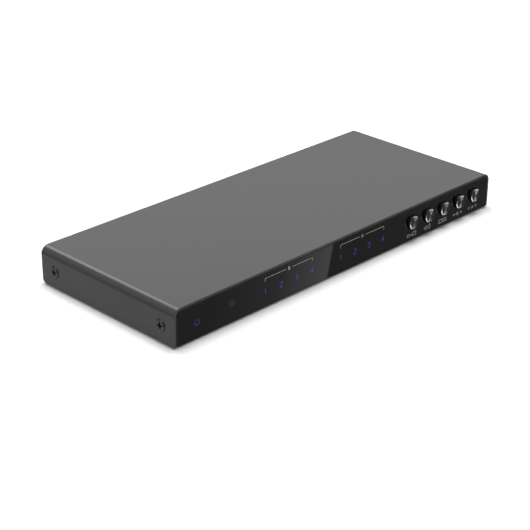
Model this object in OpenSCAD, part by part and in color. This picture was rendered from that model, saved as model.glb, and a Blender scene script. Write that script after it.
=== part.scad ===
// Desktop switch box for four video sources and two screens: a bent sheet cover over a sheet tray,
// a gloss front panel with five push buttons and two rows of lit digits, and sockets at the rear.
// +X is to the right of someone facing the front, +Y is to the rear and +Z is up.
// The origin is under the middle of the box, on the surface that its feet stand on.

/* [Housing] */
// Width across the cover's side walls
housing_w = 215; // [208:1:240]
// Depth of the cover from its front edge to its rear edge
housing_d = 89; // [84:1:120]
// Height of the cover from its lower edge to its top face
housing_h = 18; // [17.6:0.2:26]
// Thickness of the cover's sheet
cover_t = 1.2; // [0.8:0.1:1.4]
// Outer radius of the cover's two long bends
bend_r = 3.9; // [3:0.1:4.8]
// Radius of the front lower corners of the cover's side walls
wall_corner_r = 0.6; // [0.5:0.1:4]
// Radius of the rear lower corners of those walls
wall_rear_corner_r = 2.2; // [0.5:0.1:4]
// Gap between the cover and the panels that it closes over
cover_gap = 0.15; // [0.05:0.05:0.3]
// Thickness of the tray's sheet
tray_t = 1; // [0.8:0.1:1.3]
// Drop from the cover's top face to the top of the tray's side flanges
flange_drop = 5.2; // [5:0.1:6]
// Bend relief at the ends of the tray's side flanges
flange_relief = 1.2; // [0.5:0.1:2]
// Thickness of the rear panel
panel_t = 1.2; // [0.8:0.1:2]
// Width of the two tray tabs that carry the rear panel
tab_w = 9; // [7:0.5:10]
// Height of those tabs
tab_h = 13; // [12.4:0.2:15]
// Distance from the cover's side to the middle of each tab
tab_inset = 8.5; // [7.5:0.1:9]
// Height of the rear panel's screws above the cover's lower edge
tab_screw_z = 9; // [8:0.1:9.6]

/* [Feet] */
// Height by which the feet lift the cover
foot_proud = 0.6; // [0.4:0.1:2]
// Radius of a foot's pad
foot_r = 5; // [4:0.5:7]
// Radius of a foot's neck in the tray
foot_neck_r = 2; // [1.5:0.1:3]
// Radius of the lip that holds a foot above the tray
foot_lip_r = 2.8; // [2.4:0.1:3.6]
// Height of that lip
foot_lip_h = 0.9; // [0.6:0.1:1.5]
// Distance of a foot from the cover's sides, front and rear
foot_inset = 17; // [14:0.5:20]

/* [Fasteners] */
// Shank radius of every screw
screw_r = 1.5; // [1.2:0.05:1.6]
// Clearance around every screw, spigot and neck
screw_gap = 0.05; // [0.03:0.01:0.1]
// Radius of the sunk heads in the cover
sunk_head_r = 2.8; // [2.4:0.1:3.2]
// Depth of the sunk heads
sunk_head_h = 0.9; // [0.6:0.1:1]
// Height by which the sunk heads stand out of the cover
sunk_proud = 0.5; // [0.3:0.1:0.8]
// Slope of the rims of the sunk heads
sunk_slope = 0.3; // [0.1:0.1:0.6]
// Radius of the raised heads on the panel and boards
pan_head_r = 2.7; // [2.4:0.1:3]
// Height of the raised heads
pan_head_h = 1.4; // [1:0.1:2]
// Length of each arm of the cross recess
recess_l = 1.7; // [1:0.1:1.9]
// Width of the cross recess
recess_w = 0.8; // [0.6:0.1:1]
// Depth of the cross recess
recess_d = 0.6; // [0.4:0.1:0.8]
// Length of the cover's screws
cover_screw_l = 5; // [4:0.5:6]
// Length of the other screws under their heads
pan_screw_l = 4; // [3:0.5:5]
// Distance of the front cover screws from the cover's front edge
cover_screw_front = 8.5; // [8:0.1:10]
// Distance of the rear cover screws from the cover's rear edge
cover_screw_rear = 9.2; // [8:0.1:12]
// Height of the cover screws above the cover's lower edge
cover_screw_z = 8; // [7:0.1:9]
// Outer radius of the tapped collars on the tray
collar_r = 2.6; // [2.2:0.1:3]
// Length of the tapped collars
collar_l = 1.5; // [1:0.1:2]

/* [Front panel] */
// Thickness of the gloss front panel
fascia_t = 2; // [1.5:0.1:3]
// Radius of the front panel's lower corners
fascia_corner_r = 0.8; // [0.3:0.1:2]
// Thickness of the tape that holds the front panel
tape_t = 0.4; // [0.2:0.1:1]
// Distance of the tape from the front panel's edge
tape_inset = 1; // [0.5:0.1:1.5]
// Height of the digits above the cover's lower edge
indicator_z = 7.8; // [7:0.1:8.6]
// Distance between neighbouring digits
digit_pitch = 10; // [9:0.1:10.5]
// Shift of the left row of digits from even spacing
left_row_shift = 0; // [-2:0.1:2]
// Shift of the right row of digits from even spacing
right_row_shift = -1.1; // [-2:0.1:2]
// Distance of the power light from the cover's left side
power_inset = 13; // [12:0.1:14]
// Width of a light guide
guide_w = 6; // [4:0.1:7]
// Height of a light guide
guide_h = 5; // [4:0.1:6]
// Clearance around a light guide
guide_gap = 0.15; // [0.05:0.05:0.3]
// Wall of the light shrouds around the guides
shroud_wall = 1; // [0.6:0.1:1.2]
// Width of a light source
led_w = 2; // [1.2:0.1:3]
// Height of a light source
led_h = 1.25; // [0.8:0.05:2]
// Thickness of a light source
led_t = 0.8; // [0.5:0.1:1.2]
// Gap between a light source and its guide
led_gap = 0.3; // [0.1:0.1:0.6]
// Distance of the infrared window from the cover's left side
ir_inset = 33.6; // [32:0.1:36]
// Height of the infrared window above the cover's lower edge
ir_z = 9.4; // [8.5:0.1:10]
// Radius of the infrared window
ir_r = 2.1; // [2:0.1:3]
// Clearance around the infrared window
ir_gap = 0.04; // [0.02:0.01:0.1]
// Width of the infrared receiver
receiver_w = 5.6; // [4.8:0.1:7]
// Height of the infrared receiver
receiver_h = 7; // [5:0.1:7.4]
// Thickness of the infrared receiver without its lens
receiver_t = 2.6; // [2:0.1:3]
// Radius of the infrared receiver's lens
receiver_lens_r = 1.9; // [1.2:0.1:2.2]

/* [Buttons] */
// Distance of the last button from the cover's right side
button_inset = 12.5; // [12:0.1:15]
// Distance between neighbouring buttons
button_pitch = 12; // [11.6:0.1:12.1]
// Height of the buttons above the cover's lower edge
button_z = 9.7; // [9.4:0.1:10.4]
// Radius of a button
button_r = 3.3; // [3:0.1:4]
// Height by which a button stands out of the front panel
button_proud = 1.8; // [1.2:0.1:2.4]
// Travel of a button
button_travel = 0.5; // [0.2:0.05:0.6]
// Clearance between a button and its hole
button_gap = 0.2; // [0.15:0.05:0.3]
// Thickness of the metal disc on a button
button_face_t = 0.7; // [0.5:0.1:1]
// Chamfer of that disc's rim
button_chamfer = 0.4; // [0.2:0.05:0.45]
// Width of the flange that keeps a button in
button_flange_w = 0.9; // [0.6:0.1:1.1]
// Thickness of that flange
button_flange_t = 0.8; // [0.5:0.1:1.2]
// Gap between that flange and the tray's front wall
button_stop_gap = 0.1; // [0.05:0.05:0.2]
// Radius of the pad that presses the switch
button_pad_r = 2; // [1.8:0.1:2.6]
// Length of that pad
button_pad_l = 0.4; // [0.3:0.1:1]
// Width and height of a switch
switch_w = 6; // [5:0.1:6.6]
// Depth of a switch's case
switch_t = 3.5; // [3.4:0.1:4.5]
// Radius of a switch's plunger
plunger_r = 1.7; // [1.2:0.1:1.8]
// Length of the plunger outside the case
plunger_out = 1.4; // [0.8:0.1:2]
// Length of the plunger inside the case
plunger_in = 1; // [0.8:0.1:1.4]
// Clearance around the plunger
plunger_gap = 0.08; // [0.05:0.01:0.12]
// Room left behind the plunger at full travel
plunger_room = 0.3; // [0.1:0.1:0.6]

/* [Boards] */
// Thickness of both circuit boards
board_t = 1.6; // [1:0.1:2]
// Height of the standoffs under the main board
standoff_h = 3; // [2.6:0.1:3.6]
// Radius of the standoffs and spacers
standoff_r = 2.6; // [2.4:0.1:3]
// Radius of the spigots that seat them in the tray
spigot_r = 2; // [1.9:0.05:2.2]
// Gap between the boards and the tray's side flanges
board_side_gap = 5; // [4.5:0.1:6]
// Gap under the front board
front_board_gap = 0.6; // [0.3:0.1:1]
// Gap between the front board and the cover's top
front_board_drop = 1.2; // [0.5:0.1:2]
// Height of the front board's spacers above the cover's lower edge
spacer_z = 4.4; // [4.2:0.1:4.6]
// Gap between the front board and the main board
board_space = 3.6; // [3.4:0.1:4.2]
// Gap between the main board and the rear panel
board_rear_gap = 0.6; // [0.3:0.1:1]
// Distance of the main board's screws from its sides
board_screw_side = 5; // [4:0.1:5.4]
// Distance of the main board's screws from its front and rear edges
board_screw_end = 9; // [8:0.1:11]

/* [Video sockets] */
// Width of a socket's opening
video_w = 14; // [13:0.1:15]
// Height of a socket's opening
video_h = 4.55; // [4.4:0.05:5]
// Width of the slope at each lower corner
video_slope_w = 2; // [1:0.1:2.4]
// Height of that slope
video_slope_h = 1.6; // [1:0.1:1.8]
// Length of a socket's shell
video_l = 11.5; // [10:0.1:14]
// Wall of the shell
video_shell_t = 0.4; // [0.3:0.05:0.6]
// Height by which the shell stands out of the rear panel
video_proud = 0.4; // [0.2:0.1:1.2]
// Distance between neighbouring sockets
video_pitch = 21; // [18:0.1:22]
// Distance of the outermost input socket from the cover's right side
input_inset = 28.5; // [26:0.1:30]
// Width of the contact tongue
tongue_w = 11.4; // [9:0.1:11.6]
// Thickness of the contact tongue
tongue_t = 1.3; // [0.8:0.1:1.6]
// Height of the tongue's middle above the opening's floor
tongue_z = 2.4; // [2.4:0.05:2.6]
// Depth of the tongue's tip behind the mouth
tongue_back = 3; // [2:0.1:4]
// Length of the block behind the tongue
core_l = 2.5; // [2:0.1:4]
// Clearance of the block in the shell
core_gap = 0.05; // [0.03:0.01:0.1]
// Clearance of the rear panel around every socket
cutout_gap = 0.25; // [0.15:0.05:0.4]

/* [Power jack] */
// Distance of the power jack from the cover's left side
dc_inset = 20.5; // [19.5:0.1:22]
// Width of the power jack
dc_w = 9; // [8:0.1:10]
// Height of the power jack
dc_h = 9; // [8:0.1:9.4]
// Length of the power jack
dc_l = 14; // [12:0.1:16]
// Radius of its bore
dc_bore_r = 2.9; // [2.6:0.05:3.2]
// Depth of its bore
dc_bore_l = 9.5; // [8.6:0.1:10.5]
// Radius of its centre pin
dc_pin_r = 1; // [0.8:0.05:1.2]
// Length of the centre pin in the bore
dc_pin_l = 8.5; // [7:0.1:8.6]
// Radius of the pin's root in the back wall
dc_root_r = 0.8; // [0.5:0.05:0.8]
// Length of the pin's root
dc_root_l = 2; // [1:0.1:3]
// Clearance of the root in the back wall
dc_root_gap = 0.02; // [0.01:0.01:0.05]
// Height by which the power jack stands out of the rear panel
dc_proud = 0.3; // [0:0.1:1]

/* [Audio jack] */
// Width of the audio jack
audio_w = 7; // [6.4:0.1:8]
// Height of the audio jack
audio_h = 6.6; // [6.2:0.1:8]
// Length of the audio jack behind the rear panel
audio_l = 12; // [11.6:0.1:14]
// Radius of its bore
audio_bore_r = 1.8; // [1.75:0.05:1.9]
// Depth of the bore in the plastic
audio_bore_l = 11; // [9:0.1:11.4]
// Outer radius of its metal bush
bush_r = 3; // [2.6:0.1:3.1]
// Height by which the bush stands out of the rear panel
bush_proud = 1; // [0.5:0.1:2]

/* [Optical jack] */
// Width of the optical jack
optical_w = 9.8; // [9.4:0.1:10.4]
// Height of the optical jack
optical_h = 9.4; // [9.2:0.1:9.8]
// Length of the optical jack
optical_l = 13; // [12:0.1:15]
// Wall of the optical jack
optical_wall = 0.8; // [0.7:0.05:1]
// Depth of its cavity
optical_cavity_l = 10; // [9.4:0.1:11]
// Height by which the optical jack stands out of the rear panel
optical_proud = 0.4; // [0.2:0.1:1]
// Thickness of the dust shutter
shutter_t = 0.8; // [0.6:0.1:1]
// Gap around the dust shutter
shutter_gap = 0.15; // [0.1:0.05:0.2]
// Depth of the shutter's pivot behind the mouth
pivot_back = 1; // [0.9:0.1:1.6]
// Radius of the shutter's pivot pins
pivot_r = 0.4; // [0.3:0.05:0.5]
// Clearance around the pivot pins
pivot_gap = 0.04; // [0.03:0.01:0.06]

/* [Ribbon cable] */
// Place of the ribbon cable across the box
ribbon_x = 8; // [4:0.1:12]
// Width of the ribbon cable
ribbon_w = 12; // [8:0.1:16]
// Thickness of the ribbon cable
ribbon_t = 0.3; // [0.2:0.05:0.5]
// Radius of the bend at the middle of the ribbon cable
ribbon_bend_r = 2.5; // [2:0.1:2.8]
// Height of the ribbon cable's upper end above the main board
ribbon_rise = 7; // [6.9:0.1:7.6]
// Straight length of the ribbon cable out of the front socket
ribbon_lead = 1; // [0.6:0.1:2]
// Margin of the ribbon sockets beside the ribbon cable
ribbon_margin = 2; // [1:0.1:3]
// Height of the ribbon sockets off their boards
ribbon_socket_h = 3; // [2:0.1:3.6]
// Width of the ribbon sockets' long side walls together
ribbon_socket_t = 3.6; // [2:0.1:4.6]
// Depth by which the ribbon cable sits in a socket
ribbon_seat = 1.5; // [1:0.1:1.8]
// Clearance of the ribbon cable in its sockets
ribbon_gap = 0.05; // [0.02:0.01:0.1]

/* [Main chips] */
// Place of the processor across the box
processor_x = 28; // [24:0.5:32]
// Place of the processor behind the main board's front edge
processor_y = 32; // [28:0.5:34]
// Width of the processor
processor_w = 20; // [14:0.5:24]
// Height of the processor
processor_h = 1.8; // [1:0.1:2]
// Width of the thermal pad on the processor
pad_w = 17; // [12:0.5:20]
// Thickness of the thermal pad
pad_t = 0.8; // [0.5:0.1:1]
// Width of the heat sink
sink_w = 26; // [22:0.5:28]
// Thickness of the heat sink's base
sink_base = 2; // [1.5:0.1:2.4]
// Height of the heat sink's fins
fin_h = 4.6; // [2:0.1:4.8]
// Thickness of a fin
fin_t = 1.2; // [0.8:0.1:1.6]
// Number of fins
fin_n = 7; // [5:1:8]
// Width of each interface chip
chip_w = 11; // [8:0.5:13]
// Height of each interface chip
chip_h = 1.2; // [0.8:0.1:2]
// Distance of the interface chips' middles behind the main board's front edge
chip_y = 49; // [46:0.5:50]
// Radius of a filter capacitor
capacitor_r = 3; // [2:0.1:3.4]
// Height of a filter capacitor
capacitor_h = 5.6; // [4:0.1:8]
// Distance between neighbouring capacitors
capacitor_pitch = 8; // [7.4:0.1:9]
// Distance of the capacitors behind the main board's front edge
capacitor_y = 34; // [26:0.5:36]

/* [Hidden] */
BUTTONS = ["scaler", "audio", "mode", "select_b", "select_a"];
$fn = 64;

// Overshoot of every cut past the face that it leaves through
over = 1;
digit_n = 4;
input_n = 4;
output_n = 2;
capacitor_n = 4;
SIDES = [-1, 1];

// Heights
z_edge = foot_proud;
z_top = z_edge + housing_h;
z_ceiling = z_top - cover_t;
z_floor = z_edge + tray_t;
z_board = z_floor + standoff_h;
z_deck = z_board + board_t;
z_digits = z_edge + indicator_z;
z_ir = z_edge + ir_z;
z_buttons = z_edge + button_z;
z_spacers = z_edge + spacer_z;
z_cover_screws = z_edge + cover_screw_z;
z_panel_screws = z_edge + tab_screw_z;
z_flange = z_top - flange_drop;

// Widths
x_outer = housing_w / 2;
x_wall = x_outer - cover_t;
x_inner = x_wall - cover_gap;
x_flange = x_inner - tray_t;
x_board = x_flange - board_side_gap;
inner_h = housing_h - cover_t - cover_gap;
inner_r = bend_r - cover_t - cover_gap;

// Depths, from the front to the rear; the whole box with its buttons and sockets is centred on Y
rear_proud = max(video_proud, dc_proud, bush_proud, optical_proud, pan_head_h);
y_front = (button_proud - housing_d - rear_proud) / 2;
y_rear = y_front + housing_d;
y_fascia = y_front + fascia_t;
y_wall = y_fascia + tape_t;
y_stop = y_wall + tray_t + button_stop_gap;
y_tip = y_stop + button_flange_t + button_pad_l;
y_case = y_tip + plunger_out;
y_front_board = y_case + switch_t;
y_behind = y_front_board + board_t;
y_main_front = y_behind + board_space;
y_panel = y_rear - panel_t;
y_main_rear = y_panel - board_rear_gap;

// Across the front: the power light and infrared window keep to the left side and the buttons to the
// right side, and the two rows of digits are spaced evenly between them
power_x = power_inset - x_outer;
ir_x = ir_inset - x_outer;
button_x = x_outer - button_inset - (len(BUTTONS) - 1) * button_pitch;
row_l = (digit_n - 1) * digit_pitch;
row_space = (button_x - ir_x - 2 * row_l) / 3;
left_digits_x = ir_x + row_space + left_row_shift;
right_digits_x = ir_x + 2 * row_space + row_l + right_row_shift;

// Across the rear: the power jack keeps to the left side and the inputs to the right side, and the
// optical jack, the audio jack and the outputs are spaced evenly between them
shell_w = video_w + 2 * video_shell_t;
dc_x = dc_inset - x_outer;
input_x = x_outer - input_inset;
outputs_w = shell_w + (output_n - 1) * video_pitch;
inputs_edge = input_x - (input_n - 1) * video_pitch - shell_w / 2;
socket_space = (inputs_edge - dc_x - dc_w / 2 - optical_w - audio_w - outputs_w) / 4;
optical_x = dc_x + dc_w / 2 + socket_space + optical_w / 2;
audio_x = optical_x + optical_w / 2 + socket_space + audio_w / 2;
output_x = inputs_edge - socket_space - shell_w / 2;

// Places of what repeats
digit_places = concat(
    [for (i = [0 : digit_n - 1]) left_digits_x + i * digit_pitch],
    [for (i = [0 : digit_n - 1]) right_digits_x + i * digit_pitch]
);
button_places = [for (i = [0 : len(BUTTONS) - 1]) button_x + i * button_pitch];
input_places = [for (i = [0 : input_n - 1]) input_x - i * video_pitch];
output_places = [for (i = [0 : output_n - 1]) output_x - i * video_pitch];
foot_places = [for (x = SIDES, y = [y_front + foot_inset, y_rear - foot_inset])
    [x * (x_outer - foot_inset), y]];
cover_screw_rows = [y_front + cover_screw_front, y_rear - cover_screw_rear];
tab_places = [for (x = SIDES) x * (x_outer - tab_inset)];
board_screw_places = [
    for (x = SIDES, y = [y_main_front + board_screw_end, y_main_rear - board_screw_end])
        [x * (x_board - board_screw_side), y]
];
// The front board's spacers stand left of the infrared window, between the first two buttons and
// between the last two; the light shrouds carry the board between them
spacer_places = [
    (power_x + ir_x) / 2,
    button_x + button_pitch / 2,
    button_x + (len(BUTTONS) - 1.5) * button_pitch
];
capacitor_places = [for (i = [0 : capacitor_n - 1]) dc_x + i * capacitor_pitch];
// One interface chip behind the outputs and two behind the inputs
chip_places = [output_x - video_pitch / 2, input_x - video_pitch / 2, input_x - video_pitch * 2.5];

// Light guides
guide_back = y_front_board - led_t - led_gap;

// Sockets
video_floor = z_deck + video_shell_t;
y_video = y_rear + video_proud;
dc_z = z_deck + dc_h / 2;
y_dc = y_rear + dc_proud;
audio_z = z_deck + audio_h / 2;
y_optical = y_rear + optical_proud;
optical_inner_w = optical_w - 2 * optical_wall;
pivot_y = y_optical - pivot_back;
pivot_z = z_deck + optical_h - optical_wall - shutter_gap - shutter_t / 2;

// Ribbon cable
ribbon_top = z_deck + ribbon_rise;
ribbon_bend_y = y_behind + ribbon_socket_h + ribbon_lead;
ribbon_main_y = ribbon_bend_y + ribbon_bend_r;

// A flat shape drawn in X and Z, standing from y_a to y_b
module along_y(y_a, y_b) {
    translate([0, y_b, 0]) rotate([90, 0, 0]) linear_extrude(y_b - y_a) children();
}

// A flat shape drawn in Y and Z, standing from x_a to x_b
module along_x(x_a, x_b) {
    translate([x_a, 0, 0]) rotate([90, 0, 90]) linear_extrude(x_b - x_a) children();
}

// A block from one corner to the opposite one
module block(low, high) {
    translate(low) cube(high - low);
}

// A rod along Y at the given place across and up
module rod_y(x, z, r, y_a, y_b) {
    translate([x, y_a, z]) rotate([-90, 0, 0]) cylinder(r = r, h = y_b - y_a);
}

// A rod along X at the given place back and up
module rod_x(y, z, r, x_a, x_b) {
    translate([x_a, y, z]) rotate([0, 90, 0]) cylinder(r = r, h = x_b - x_a);
}

// What a round corner of radius r leaves of a square one
module corner_waste(r) {
    difference() {
        square(r + over);
        circle(r);
    }
}

// An upright panel standing on z = 0, with its own radius at the upper and the lower corners
module panel_outline(w, h, top_r, low_r) {
    difference() {
        translate([-w / 2, 0]) square([w, h]);
        for (side = [0, 1]) mirror([side, 0]) {
            translate([w / 2 - top_r, h - top_r]) corner_waste(top_r);
            if (low_r > 0) translate([w / 2 - low_r, low_r]) mirror([0, 1]) corner_waste(low_r);
        }
    }
}

// Outline that the front panel, the tray's front wall and the rear panel share inside the cover
module inner_outline(low_r) {
    translate([0, z_edge]) panel_outline(2 * x_inner, inner_h, inner_r, low_r);
}

// Cross recess in the top of a head, cut downwards from z = 0
module cross_recess() {
    for (turn = [0, 90]) rotate(turn)
        translate([-recess_l, -recess_w / 2, -recess_d]) cube([2 * recess_l, recess_w, recess_d + over]);
}

// Sunk screw pointing along -Z, with the raised part of its head standing on z = 0
module sunk_screw() {
    difference() {
        union() {
            cylinder(r1 = sunk_head_r, r2 = sunk_head_r - sunk_slope, h = sunk_proud);
            translate([0, 0, -sunk_head_h])
                cylinder(r1 = screw_r, r2 = sunk_head_r, h = sunk_head_h);
            translate([0, 0, -cover_screw_l]) cylinder(r = screw_r, h = cover_screw_l - sunk_head_h);
        }
        translate([0, 0, sunk_proud]) cross_recess();
    }
}

// Seat for a sunk screw, with the screw's clearance all round
module sunk_seat() {
    translate([0, 0, -sunk_head_h])
        cylinder(r1 = screw_r + screw_gap, r2 = sunk_head_r + screw_gap, h = sunk_head_h);
    translate([0, 0, -cover_screw_l - over])
        cylinder(r = screw_r + screw_gap, h = cover_screw_l + over);
}

// Raised screw pointing along -Z, with its head standing on z = 0
module pan_screw() {
    difference() {
        union() {
            cylinder(r = pan_head_r, h = pan_head_h);
            translate([0, 0, -pan_screw_l]) cylinder(r = screw_r, h = pan_screw_l);
        }
        translate([0, 0, pan_head_h]) cross_recess();
    }
}

// Tapped standoff of height h on z = 0, with a spigot below it in the sheet
module standoff(h) {
    difference() {
        union() {
            cylinder(r = standoff_r, h = h);
            translate([0, 0, -tray_t]) cylinder(r = spigot_r, h = tray_t);
        }
        translate([0, 0, -tray_t - over]) cylinder(r = screw_r + screw_gap, h = tray_t + h + 2 * over);
    }
}

// Puts a screw at each of the cover's four screw places, turned to point inwards
module at_cover_screws() {
    for (y = cover_screw_rows, side = [0, 1])
        mirror([side, 0, 0]) translate([x_outer, y, z_cover_screws]) rotate([0, 90, 0]) children();
}

// Light window or guide in front of the light source at x
module guide_shape(x, gap, y_a, y_b) {
    block([x - guide_w / 2 - gap, y_a, z_digits - guide_h / 2 - gap],
          [x + guide_w / 2 + gap, y_b, z_digits + guide_h / 2 + gap]);
}

// Openings for the buttons, lights and infrared window through the sheets behind the front panel
module front_openings(y_a, y_b) {
    for (x = button_places) rod_y(x, z_buttons, button_r + button_gap, y_a, y_b);
    for (x = concat([power_x], digit_places)) guide_shape(x, guide_gap, y_a, y_b);
    rod_y(ir_x, z_ir, ir_r, y_a, y_b);
}

// Bent sheet cover: the top and two side walls
module top_cover() {
    color("dimgray") difference() {
        along_y(y_front, y_rear) difference() {
            translate([0, z_edge]) panel_outline(housing_w, housing_h, bend_r, 0);
            translate([0, z_edge - over])
                panel_outline(2 * x_wall, housing_h - cover_t + over, bend_r - cover_t, 0);
        }
        along_x(-x_outer - over, x_outer + over) {
            translate([y_front + wall_corner_r, z_edge + wall_corner_r])
                rotate(180) corner_waste(wall_corner_r);
            translate([y_rear - wall_rear_corner_r, z_edge + wall_rear_corner_r])
                rotate(-90) corner_waste(wall_rear_corner_r);
        }
        at_cover_screws() sunk_seat();
    }
}

// Sheet tray: base, front wall, side flanges and the two rear tabs
module bottom_tray() {
    color([0.13, 0.13, 0.14]) difference() {
        union() {
            block([-x_inner, y_wall, z_edge], [x_inner, y_panel, z_floor]);
            along_y(y_wall, y_wall + tray_t) inner_outline(0);
            for (side = [0, 1]) mirror([side, 0, 0]) {
                block([x_flange, y_wall + tray_t + flange_relief, z_edge],
                      [x_inner, y_panel - tray_t - flange_relief, z_flange]);
                for (y = cover_screw_rows)
                    rod_x(y, z_cover_screws, collar_r, x_flange - collar_l, x_flange);
            }
            for (x = tab_places) {
                block([x - tab_w / 2, y_panel - tray_t, z_edge], [x + tab_w / 2, y_panel, z_edge + tab_h]);
                rod_y(x, z_panel_screws, collar_r, y_panel - tray_t - collar_l, y_panel - tray_t);
            }
        }
        front_openings(y_wall - over, y_wall + tray_t + over);
        at_cover_screws() sunk_seat();
        for (x = tab_places)
            rod_y(x, z_panel_screws, screw_r + screw_gap, y_panel - tray_t - collar_l - over, y_panel + over);
        for (place = foot_places) translate([place[0], place[1], z_edge - over])
            cylinder(r = foot_neck_r + screw_gap, h = tray_t + 2 * over);
        for (place = board_screw_places) translate([place[0], place[1], z_edge - over])
            cylinder(r = spigot_r + screw_gap, h = tray_t + 2 * over);
        for (x = spacer_places)
            rod_y(x, z_spacers, spigot_r + screw_gap, y_wall - over, y_wall + tray_t + over);
    }
}

// Four push-in feet: a pad below the tray, a neck through it and a lip above it
module rubber_feet() {
    color([0.08, 0.08, 0.08]) for (place = foot_places) translate([place[0], place[1], 0]) {
        cylinder(r = foot_r, h = z_edge);
        cylinder(r = foot_neck_r, h = z_floor);
        translate([0, 0, z_floor]) cylinder(r1 = foot_lip_r, r2 = foot_neck_r, h = foot_lip_h);
    }
}

module cover_screws() {
    color([0.25, 0.25, 0.26]) at_cover_screws() sunk_screw();
}

// Outer outline of a video socket's opening, grown all round; z = 0 is the opening's floor
module video_outline(grow) {
    half_w = video_w / 2 + grow;
    polygon([
        [video_slope_w - half_w, -grow], [half_w - video_slope_w, -grow],
        [half_w, video_slope_h - grow], [half_w, video_h + grow],
        [-half_w, video_h + grow], [-half_w, video_slope_h - grow]
    ]);
}

// Flat rear panel with a cut-out for every socket
module rear_panel() {
    color([0.12, 0.12, 0.13]) difference() {
        along_y(y_panel, y_rear) inner_outline(fascia_corner_r);
        along_y(y_panel - over, y_rear + over) {
            for (x = concat(input_places, output_places)) translate([x, video_floor])
                video_outline(video_shell_t + cutout_gap);
            translate([dc_x - dc_w / 2 - cutout_gap, z_deck - cutout_gap])
                square([dc_w + 2 * cutout_gap, dc_h + 2 * cutout_gap]);
            translate([optical_x - optical_w / 2 - cutout_gap, z_deck - cutout_gap])
                square([optical_w + 2 * cutout_gap, optical_h + 2 * cutout_gap]);
        }
        rod_y(audio_x, audio_z, bush_r + cutout_gap, y_panel - over, y_rear + over);
        for (x = tab_places)
            rod_y(x, z_panel_screws, screw_r + screw_gap, y_panel - over, y_rear + over);
    }
}

module rear_panel_screws() {
    color([0.2, 0.2, 0.2]) for (x = tab_places)
        translate([x, y_rear, z_panel_screws]) rotate([-90, 0, 0]) pan_screw();
}

// Gloss front panel with holes for the buttons and the infrared window
module front_fascia() {
    color([0.07, 0.07, 0.075]) difference() {
        along_y(y_front, y_fascia) inner_outline(fascia_corner_r);
        for (x = button_places)
            rod_y(x, z_buttons, button_r + button_gap, y_front - over, y_fascia + over);
        rod_y(ir_x, z_ir, ir_r + ir_gap, y_front - over, y_fascia + over);
    }
}

// Adhesive sheet between the front panel and the tray
module fascia_tape() {
    color([0.2, 0.2, 0.22]) difference() {
        along_y(y_fascia, y_wall) translate([0, z_edge + tape_inset])
            panel_outline(2 * (x_inner - tape_inset), inner_h - 2 * tape_inset, inner_r, 0);
        front_openings(y_fascia - over, y_wall + over);
    }
}

// Dark window that passes infrared light, flush with the front panel
module ir_window() {
    color([0.17, 0.14, 0.15]) rod_y(ir_x, z_ir, ir_r, y_front, y_fascia);
}

// Black moulded button: shaft through the panel, flange behind the tray's wall, pad on the switch
module button_body(i) {
    color([0.06, 0.06, 0.06]) {
        rod_y(button_places[i], z_buttons, button_r, y_front - button_proud + button_face_t, y_stop);
        rod_y(button_places[i], z_buttons, button_r + button_flange_w, y_stop, y_stop + button_flange_t);
        rod_y(button_places[i], z_buttons, button_pad_r, y_stop + button_flange_t, y_tip);
    }
}

// Spun metal disc on the front of a button
module button_face(i) {
    color("silver") translate([button_places[i], y_front - button_proud, z_buttons]) rotate([-90, 0, 0]) {
        cylinder(r1 = button_r - button_chamfer, r2 = button_r, h = button_chamfer);
        translate([0, 0, button_chamfer]) cylinder(r = button_r, h = button_face_t - button_chamfer);
    }
}

// Plunger of a button's switch
module switch_plunger(i) {
    color("saddlebrown") rod_y(button_places[i], z_buttons, plunger_r, y_tip, y_case + plunger_in);
}

// Case of a button's switch on the front board
module switch_case(i) {
    color([0.1, 0.1, 0.1]) difference() {
        block([button_places[i] - switch_w / 2, y_case, z_buttons - switch_w / 2],
              [button_places[i] + switch_w / 2, y_front_board, z_buttons + switch_w / 2]);
        rod_y(button_places[i], z_buttons, plunger_r + plunger_gap, y_case - over,
              y_case + plunger_in + button_travel + plunger_room);
    }
}

// Upright board behind the front panel
module front_board() {
    color([0.05, 0.3, 0.12]) difference() {
        block([-x_board, y_front_board, z_floor + front_board_gap],
              [x_board, y_behind, z_ceiling - front_board_drop]);
        for (x = spacer_places)
            rod_y(x, z_spacers, screw_r + screw_gap, y_front_board - over, y_behind + over);
    }
}

module front_board_spacers() {
    color("silver") for (x = spacer_places)
        translate([x, y_wall + tray_t, z_spacers]) rotate([-90, 0, 0])
            standoff(y_front_board - y_wall - tray_t);
}

module front_board_screws() {
    color("silver") for (x = spacer_places)
        translate([x, y_behind, z_spacers]) rotate([-90, 0, 0]) pan_screw();
}

// Black frame that keeps the light of one row's digits apart
module light_shroud(first_x) {
    side = guide_gap + shroud_wall;
    last_x = first_x + row_l;
    color([0.05, 0.05, 0.05]) difference() {
        block([first_x - guide_w / 2 - side, y_wall + tray_t, z_digits - guide_h / 2 - side],
              [last_x + guide_w / 2 + side, y_front_board, z_digits + guide_h / 2 + side]);
        for (i = [0 : digit_n - 1])
            guide_shape(first_x + i * digit_pitch, guide_gap, y_wall, y_front_board + over);
    }
}

module left_light_shroud() {
    light_shroud(left_digits_x);
}

module right_light_shroud() {
    light_shroud(right_digits_x);
}

// Clear blocks that carry the light to the back of the front panel
module digit_light_guides() {
    color("lightblue") for (x = digit_places) guide_shape(x, 0, y_fascia, guide_back);
}

module power_light_guide() {
    color("lightblue") guide_shape(power_x, 0, y_fascia, guide_back);
}

// One light source behind each digit and one behind the power light
module indicator_leds() {
    color("lightyellow") for (x = concat([power_x], digit_places))
        block([x - led_w / 2, y_front_board - led_t, z_digits - led_h / 2],
              [x + led_w / 2, y_front_board, z_digits + led_h / 2]);
}

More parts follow.
